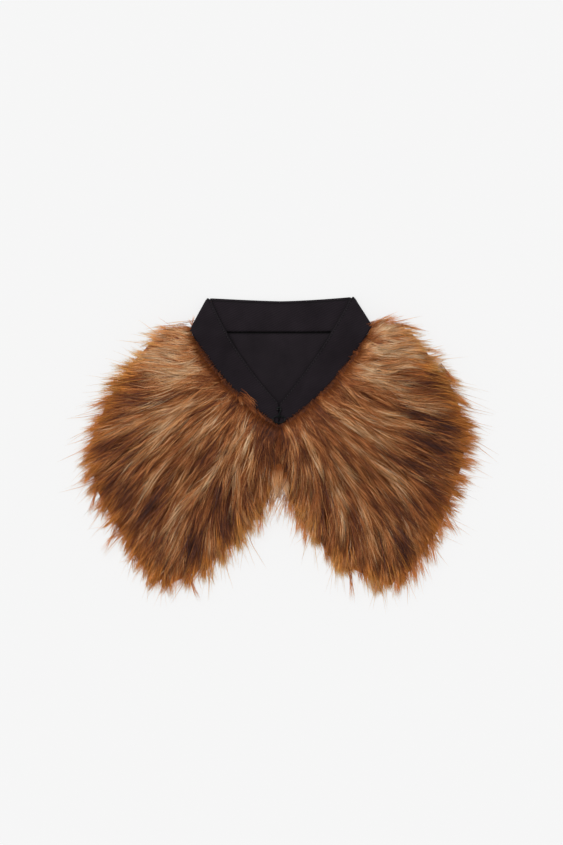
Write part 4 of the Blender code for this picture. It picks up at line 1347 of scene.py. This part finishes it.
def back_hairs(seed):
    """Hairs from inside the bed down to the table, where they lie at up to 1.6 mm. Each runs along
    its path, with a lean, and golden-ratio steps spread them evenly."""
    rng = np.random.default_rng(seed)
    share, tip_way = (np.arange(BACK_HAIRS)[:, None] / GOLDEN ** np.arange(1, 3) % 1.0).T
    share = 0.01 + 0.98 * share
    tip_way = 0.20 + 0.86 * np.sqrt(tip_way)
    long = rng.uniform(*BACK_LONG, BACK_HAIRS)
    t = np.linspace(0, 1, 3)[None]
    way = np.maximum(tip_way[:, None] - long[:, None] * (1 - t), 0.01 + 0.02 * t)
    plan = back_plan(np.broadcast_to(share[:, None], way.shape), way)
    run = unit(plan[:, 1:] - plan[:, :-1])[:, [0, 0, 1]]
    bundles = BACK_HAIRS // BACK_BUNDLE
    bundle = rng.normal(0.0, BACK_LEAN, bundles)[np.arange(BACK_HAIRS) % bundles]
    plan = plan + turned(run) * ((bundle + rng.normal(0.0, BACK_STRAY, BACK_HAIRS))[:, None] * t)[..., None]
    height = np.array([[BACK_BED_Z + 2.5, 0.9, 0.5]]) + rng.uniform(0.0, 0.7, BACK_HAIRS)[:, None] * t
    tone = np.clip(rng.normal(-0.1, 0.4, BACK_HAIRS) + bundle * 0.03, -1, 1)
    girth = rng.uniform(*BACK_GIRTH, BACK_HAIRS)
    # Tips by the rim take the painted copper glow, for light through them from the table.
    rim = smooth_step(0.9, 1.0, tip_way)
    return add_hairs("back_hair", with_height(plan, height), girth, tone, rim, seed)


back_backing = back_layer("backing_back", BACK_BACKING_WAYS, BACK_BACKING_GRID, 0.2, -1.5, knit)
back_bed = back_layer(
    "undercoat_bed_back", BACK_BED_WAYS, BACK_BED_GRID, 1.9, BACK_BED_Z, undercoat, attributes=True
)
back_coat = back_hairs(91)
print("Back panel:", back_backing.name, back_bed.name, back_coat.name)

# %% [markdown]
# ## Hook and eye
#
# A fur hook is bent from black lacquered wire. The eye is an oval, sewn on over the point where
# the two fronts meet, and the hook above it passes over the eye's upper bar and down into it.
# Both are tubes: a ring of points carried along the wire's path, with its ends rounded off.

# %% Wires
WIRE = 1.5
WIRE_BED = BED + STAND_WALL + GAP + WIRE / 2
EYE_WIDTH, EYE_HEIGHT, EYE_CENTRE_Y, HOOK_TOP_Y = 13.5, 8.5, 28.0, 40.0


def resampled(points, number):
    """Evenly spaced points along a smooth curve through a few: each coordinate is read from a
    Catmull-Rom spline, then spaced by length."""
    points = np.asarray(points, float)
    padded = np.concatenate([2 * points[:1] - points[1:2], points, 2 * points[-1:] - points[-2:-1]])
    t = np.linspace(0, len(points) - 1 - 1e-6, number * 4)
    i = t.astype(int)
    f = (t - i)[:, None]
    a, b, c, d = (padded[i + k] for k in range(4))
    fine = 0.5 * (2 * b + (c - a) * f + (2 * a - 5 * b + 4 * c - d) * f**2 + (3 * b - a - 3 * c + d) * f**3)
    gone = gone_along(fine)
    even = np.linspace(0, gone[-1], number)
    return np.stack([np.interp(even, gone, column) for column in fine.T], axis=1)


def tubes(name, paths, radius, sides, material, closed=False):
    """Tubes along paths (tubes × points × xyz). A point is path + radius · (side·cos + up·sin), and
    an open tube's radius falls at its ends like a ball's, down to a small closing face."""
    number, length = paths.shape[:2]
    if closed:
        run = unit(np.roll(paths, -1, axis=1) - np.roll(paths, 1, axis=1))
    else:
        run = unit(np.gradient(paths, axis=1))
    side = unit(np.cross(run, [0.0, 0.0, 1.0]) + 1e-6)
    up = np.cross(side, run)
    turn = np.linspace(0, 2 * math.pi, sides, endpoint=False)[None, None, :, None]
    girth = np.full((1, length, 1, 1), radius)
    if not closed:
        inner = np.minimum(np.arange(length), np.arange(length)[::-1]) / 2.0
        girth = radius * np.sqrt(np.clip(1 - (1 - np.clip(inner, 0.04, 1.0)) ** 2, 0, 1))[None, :, None, None]
    ring = np.cos(turn) * side[:, :, None] + np.sin(turn) * up[:, :, None]
    points = paths[:, :, None] + girth * ring
    at = np.arange(number * length * sides).reshape(number, length, sides)
    ahead = np.roll(at, -1, axis=1) if closed else at[:, 1:]
    here = at if closed else at[:, :-1]
    quads = np.stack([ahead, np.roll(ahead, -1, axis=2), np.roll(here, -1, axis=2), here], axis=-1)
    quads = quads.reshape(-1, 4)
    corners, counts = quads.ravel(), np.full(len(quads), 4)
    if not closed:
        caps = np.concatenate([at[:, 0], at[:, -1, ::-1]])
        corners = np.concatenate([corners, caps.ravel()])
        counts = np.append(counts, np.full(len(caps), sides))
    return add_mesh(name, points.reshape(-1, 3), corners, counts, material)


def eye_path(turn):
    """The eye's oval at angles about its centre."""
    x = (EYE_WIDTH - WIRE) / 2 * np.cos(turn)
    y = EYE_CENTRE_Y + (EYE_HEIGHT - WIRE) / 2 * np.sin(turn)
    return np.stack([x, y, np.full_like(x, WIRE_BED)], axis=-1)


WIRE_SIDES, EYE_STEPS, HOOK_STEPS = 14, 72, 60
eye_turns = np.linspace(0, 2 * math.pi, EYE_STEPS, endpoint=False)
eye_wire = tubes("eye_wire", eye_path(eye_turns)[None], WIRE / 2, WIRE_SIDES, wire, closed=True)
OVER_BAR = WIRE_BED + WIRE + GAP
BAR_Y = EYE_CENTRE_Y + (EYE_HEIGHT - WIRE) / 2
HOOK_RUN = (
    (-1.9, HOOK_TOP_Y - 3.0, WIRE_BED), (-1.6, HOOK_TOP_Y - 0.8, WIRE_BED), (0.0, HOOK_TOP_Y, WIRE_BED),
    (1.6, HOOK_TOP_Y - 0.8, WIRE_BED), (1.6, HOOK_TOP_Y - 3.0, WIRE_BED), (0.6, BAR_Y + 3.2, WIRE_BED + 0.6),
    (0.0, BAR_Y + 1.4, OVER_BAR), (0.0, BAR_Y - 0.6, OVER_BAR), (0.0, BAR_Y - 2.0, OVER_BAR - 0.5),
    (0.0, BAR_Y - 2.9, WIRE_BED + 0.3),
)
hook_wire = tubes("hook_wire", resampled(HOOK_RUN, HOOK_STEPS)[None], WIRE / 2, WIRE_SIDES, wire)
print(eye_wire.name, "and", hook_wire.name, "made")

# %% [markdown]
# ## Stitches
#
# A row of topstitching holds down the free edge of each front: short bars of thread that sit in
# the groove. Thread also ties the hook and the eye down, over the wire and back into the cloth.

# %% Stitches and wraps
THREAD = 0.42
STITCH_START = 3.0  # from either end of the edge
STITCH_SINK = 0.28  # under the cloth's top, in the groove
WRAP_REACH, WRAP_RISE = 1.15, 1.75  # the half ellipse of thread over a wire


def stitch_row(side):
    """Bars of thread along a line at a set distance from the edge, dipping in at both ends."""
    length = strip_length(side, 1.0)
    starts = np.arange(STITCH_START, length - STITCH_START, STITCH + STITCH_GAP)
    t = np.linspace(0, 1, 5)
    along = (starts[:, None] + STITCH * t) / length
    plan = front_strip(side, along, np.full_like(along, 1 - EDGE_GROOVE / STAND_WIDTH))
    height = front_stand_z(plan[..., 1]) + STAND_WALL / 2 - STITCH_SINK - 0.5 * (2 * t - 1) ** 4
    return tubes(f"topstitch_{side}", mirrored(side, with_height(plan, height)), THREAD / 2, 5, thread)


def wraps(name, places):
    """Loops of thread over a wire. A row is the wire's x and y and the turn of the wire's run, and
    the loop is half an ellipse square to that run."""
    turn = np.linspace(0.0, math.pi, 9)
    paths = []
    for x, y, degrees in places:
        square = np.array([-math.sin(math.radians(degrees)), math.cos(math.radians(degrees)), 0.0])
        middle = np.array([x, y, WIRE_BED - WIRE / 2])
        over = np.array([0.0, 0.0, WRAP_RISE])
        paths.append(middle + np.cos(turn)[:, None] * square * WRAP_REACH + np.sin(turn)[:, None] * over)
    return tubes(name, np.array(paths), THREAD / 2, 6, thread)


topstitches = {side: stitch_row(side) for side in SIDES}
EYE_TIES = [(sign * 6.0, EYE_CENTRE_Y + step, 90) for sign in (-1, 1) for step in (-1.2, -0.4, 0.4, 1.2)]
HOOK_TIES = [(sign * 1.6, HOOK_TOP_Y - 1.6 - step, 90) for sign in (-1, 1) for step in (0.0, 0.6)]
eye_wraps = wraps("eye_wraps", EYE_TIES)
hook_wraps = wraps("hook_wraps", HOOK_TIES)
print("Stitches:", topstitches["left"].name, topstitches["right"].name, eye_wraps.name, hook_wraps.name)

# %% [markdown]
# ## Which piece stands for which solid
#
# Everything here is one body, so every piece rides on "root". A table pairs each solid with the
# finish that it takes and the pieces that stand for it, and the solid itself is hidden.

# %% Riding and replacing
front_pieces = {side: [backings[side], beds[side], *coats[side]] for side in SIDES}
dressed = {
    "fur_back": ("faux_fur", [back_backing, back_bed, back_coat]),
    "back_lining": ("black_cloth", [lining]),
    "stand_back": ("black_cloth", [stand["nape"]]),
    "eye": ("black_wire", [eye_wire, eye_wraps]),
    "hook": ("black_wire", [hook_wire, hook_wraps]),
}
for side in SIDES:
    dressed[f"fur_{side}"] = ("faux_fur", front_pieces[side])
    dressed[f"stand_{side}"] = ("black_cloth", [stand[side], topstitches[side]])
for node, (finish, pieces) in dressed.items():
    for piece in pieces:
        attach(piece, "root")
        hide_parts(node)


print(len(dressed), "solids dressed")

# %% [markdown]
# ## How much there is
#
# Hair is heavy: a scene with too many triangles is slow to open and to bake. So we count them.

# %% Triangle count


def triangles(piece):
    """A face of n corners is n - 2 triangles."""
    counts = np.empty(len(piece.data.polygons), dtype=np.int32)
    piece.data.polygons.foreach_get("loop_total", counts)
    return int((counts - 2).sum())


for node, (finish, pieces) in dressed.items():
    print(node, {piece.name: triangles(piece) for piece in pieces})
print("In all", sum(triangles(piece) for _, pieces in dressed.values() for piece in pieces), "triangles")

# %% [markdown]
# ## Table, light and camera
#
# The wrap lies on a plain pale table, seen from straight above. The light is nearly shadowless: a
# bright even sky with one broad lamp, up and to the left, so that locks still have a lit and a
# shaded side. The lamp is a sun with a wide disc, because a lamp that close would light the
# table unevenly. The camera stands at the height where a frame of 563 by 845 pixels shows one
# pixel to a millimetre.

# %% Stage
PIXELS = (563, 845)
CENTRE = (2.5, 25.0)  # of the frame, on the table
LENS, SENSOR = 85.0, 36.0
SKY, SUN, SUN_DISC, SUN_TILT = 0.62, 1.55, 50.0, (-30.0, -22.0, 0.0)  # strengths, and degrees
TABLE, GLOW = 0.20, 0.72  # how much light the table sends back, and how much it gives
TABLE_HALF, TABLE_Z = 3000.0, -0.1
CAMERA_RISE = 8.0  # the height over the table at which a pixel is a millimetre


def table_top():
    """One large square just under the wrap. It gives some light of its own, as a lit sheet does, so
    that it stays even and pale."""
    corners = [(-1, -1), (1, -1), (1, 1), (-1, 1)]
    points = np.array([(x * TABLE_HALF, y * TABLE_HALF, TABLE_Z) for x, y in corners])
    material, _, shader = new_material("pale_table", 0.9)
    shader.inputs["Base Color"].default_value = (TABLE, TABLE, TABLE, 1.0)
    shader.inputs["Specular IOR Level"].default_value = 0.0
    shader.inputs["Emission Color"].default_value = (1.0, 1.0, 1.0, 1.0)
    shader.inputs["Emission Strength"].default_value = GLOW
    return add_mesh("table_top", points, np.arange(4), np.array([4]), material)


table_top()
world = bpy.data.worlds.new("even_sky")
world.use_nodes = True
world.node_tree.nodes["Background"].inputs[0].default_value = (1.0, 1.0, 1.0, 1.0)
world.node_tree.nodes["Background"].inputs[1].default_value = SKY
bpy.context.scene.world = world
lamp_data = bpy.data.lights.new("broad_lamp", "SUN")
lamp_data.energy = SUN
lamp_data.angle = math.radians(SUN_DISC)
lamp = bpy.data.objects.new("broad_lamp", lamp_data)
lamp.rotation_euler = [math.radians(turn) for turn in SUN_TILT]
collection.objects.link(lamp)
camera_data = bpy.data.cameras.new("overhead")
camera_data.lens, camera_data.sensor_width = LENS, SENSOR
camera = bpy.data.objects.new("overhead", camera_data)
camera.location = (CENTRE[0] * MM, CENTRE[1] * MM, (PIXELS[1] * LENS / SENSOR + CAMERA_RISE) * MM)
collection.objects.link(camera)
bpy.context.scene.camera = camera
bpy.context.scene.view_settings.view_transform = "Standard"
print("Camera", round(camera.location.z, 3), "m over the table")

# %% [markdown]
# ## Up to date
#
# Last, the scene is brought up to date.

# %% Up to date
bpy.context.view_layer.update()
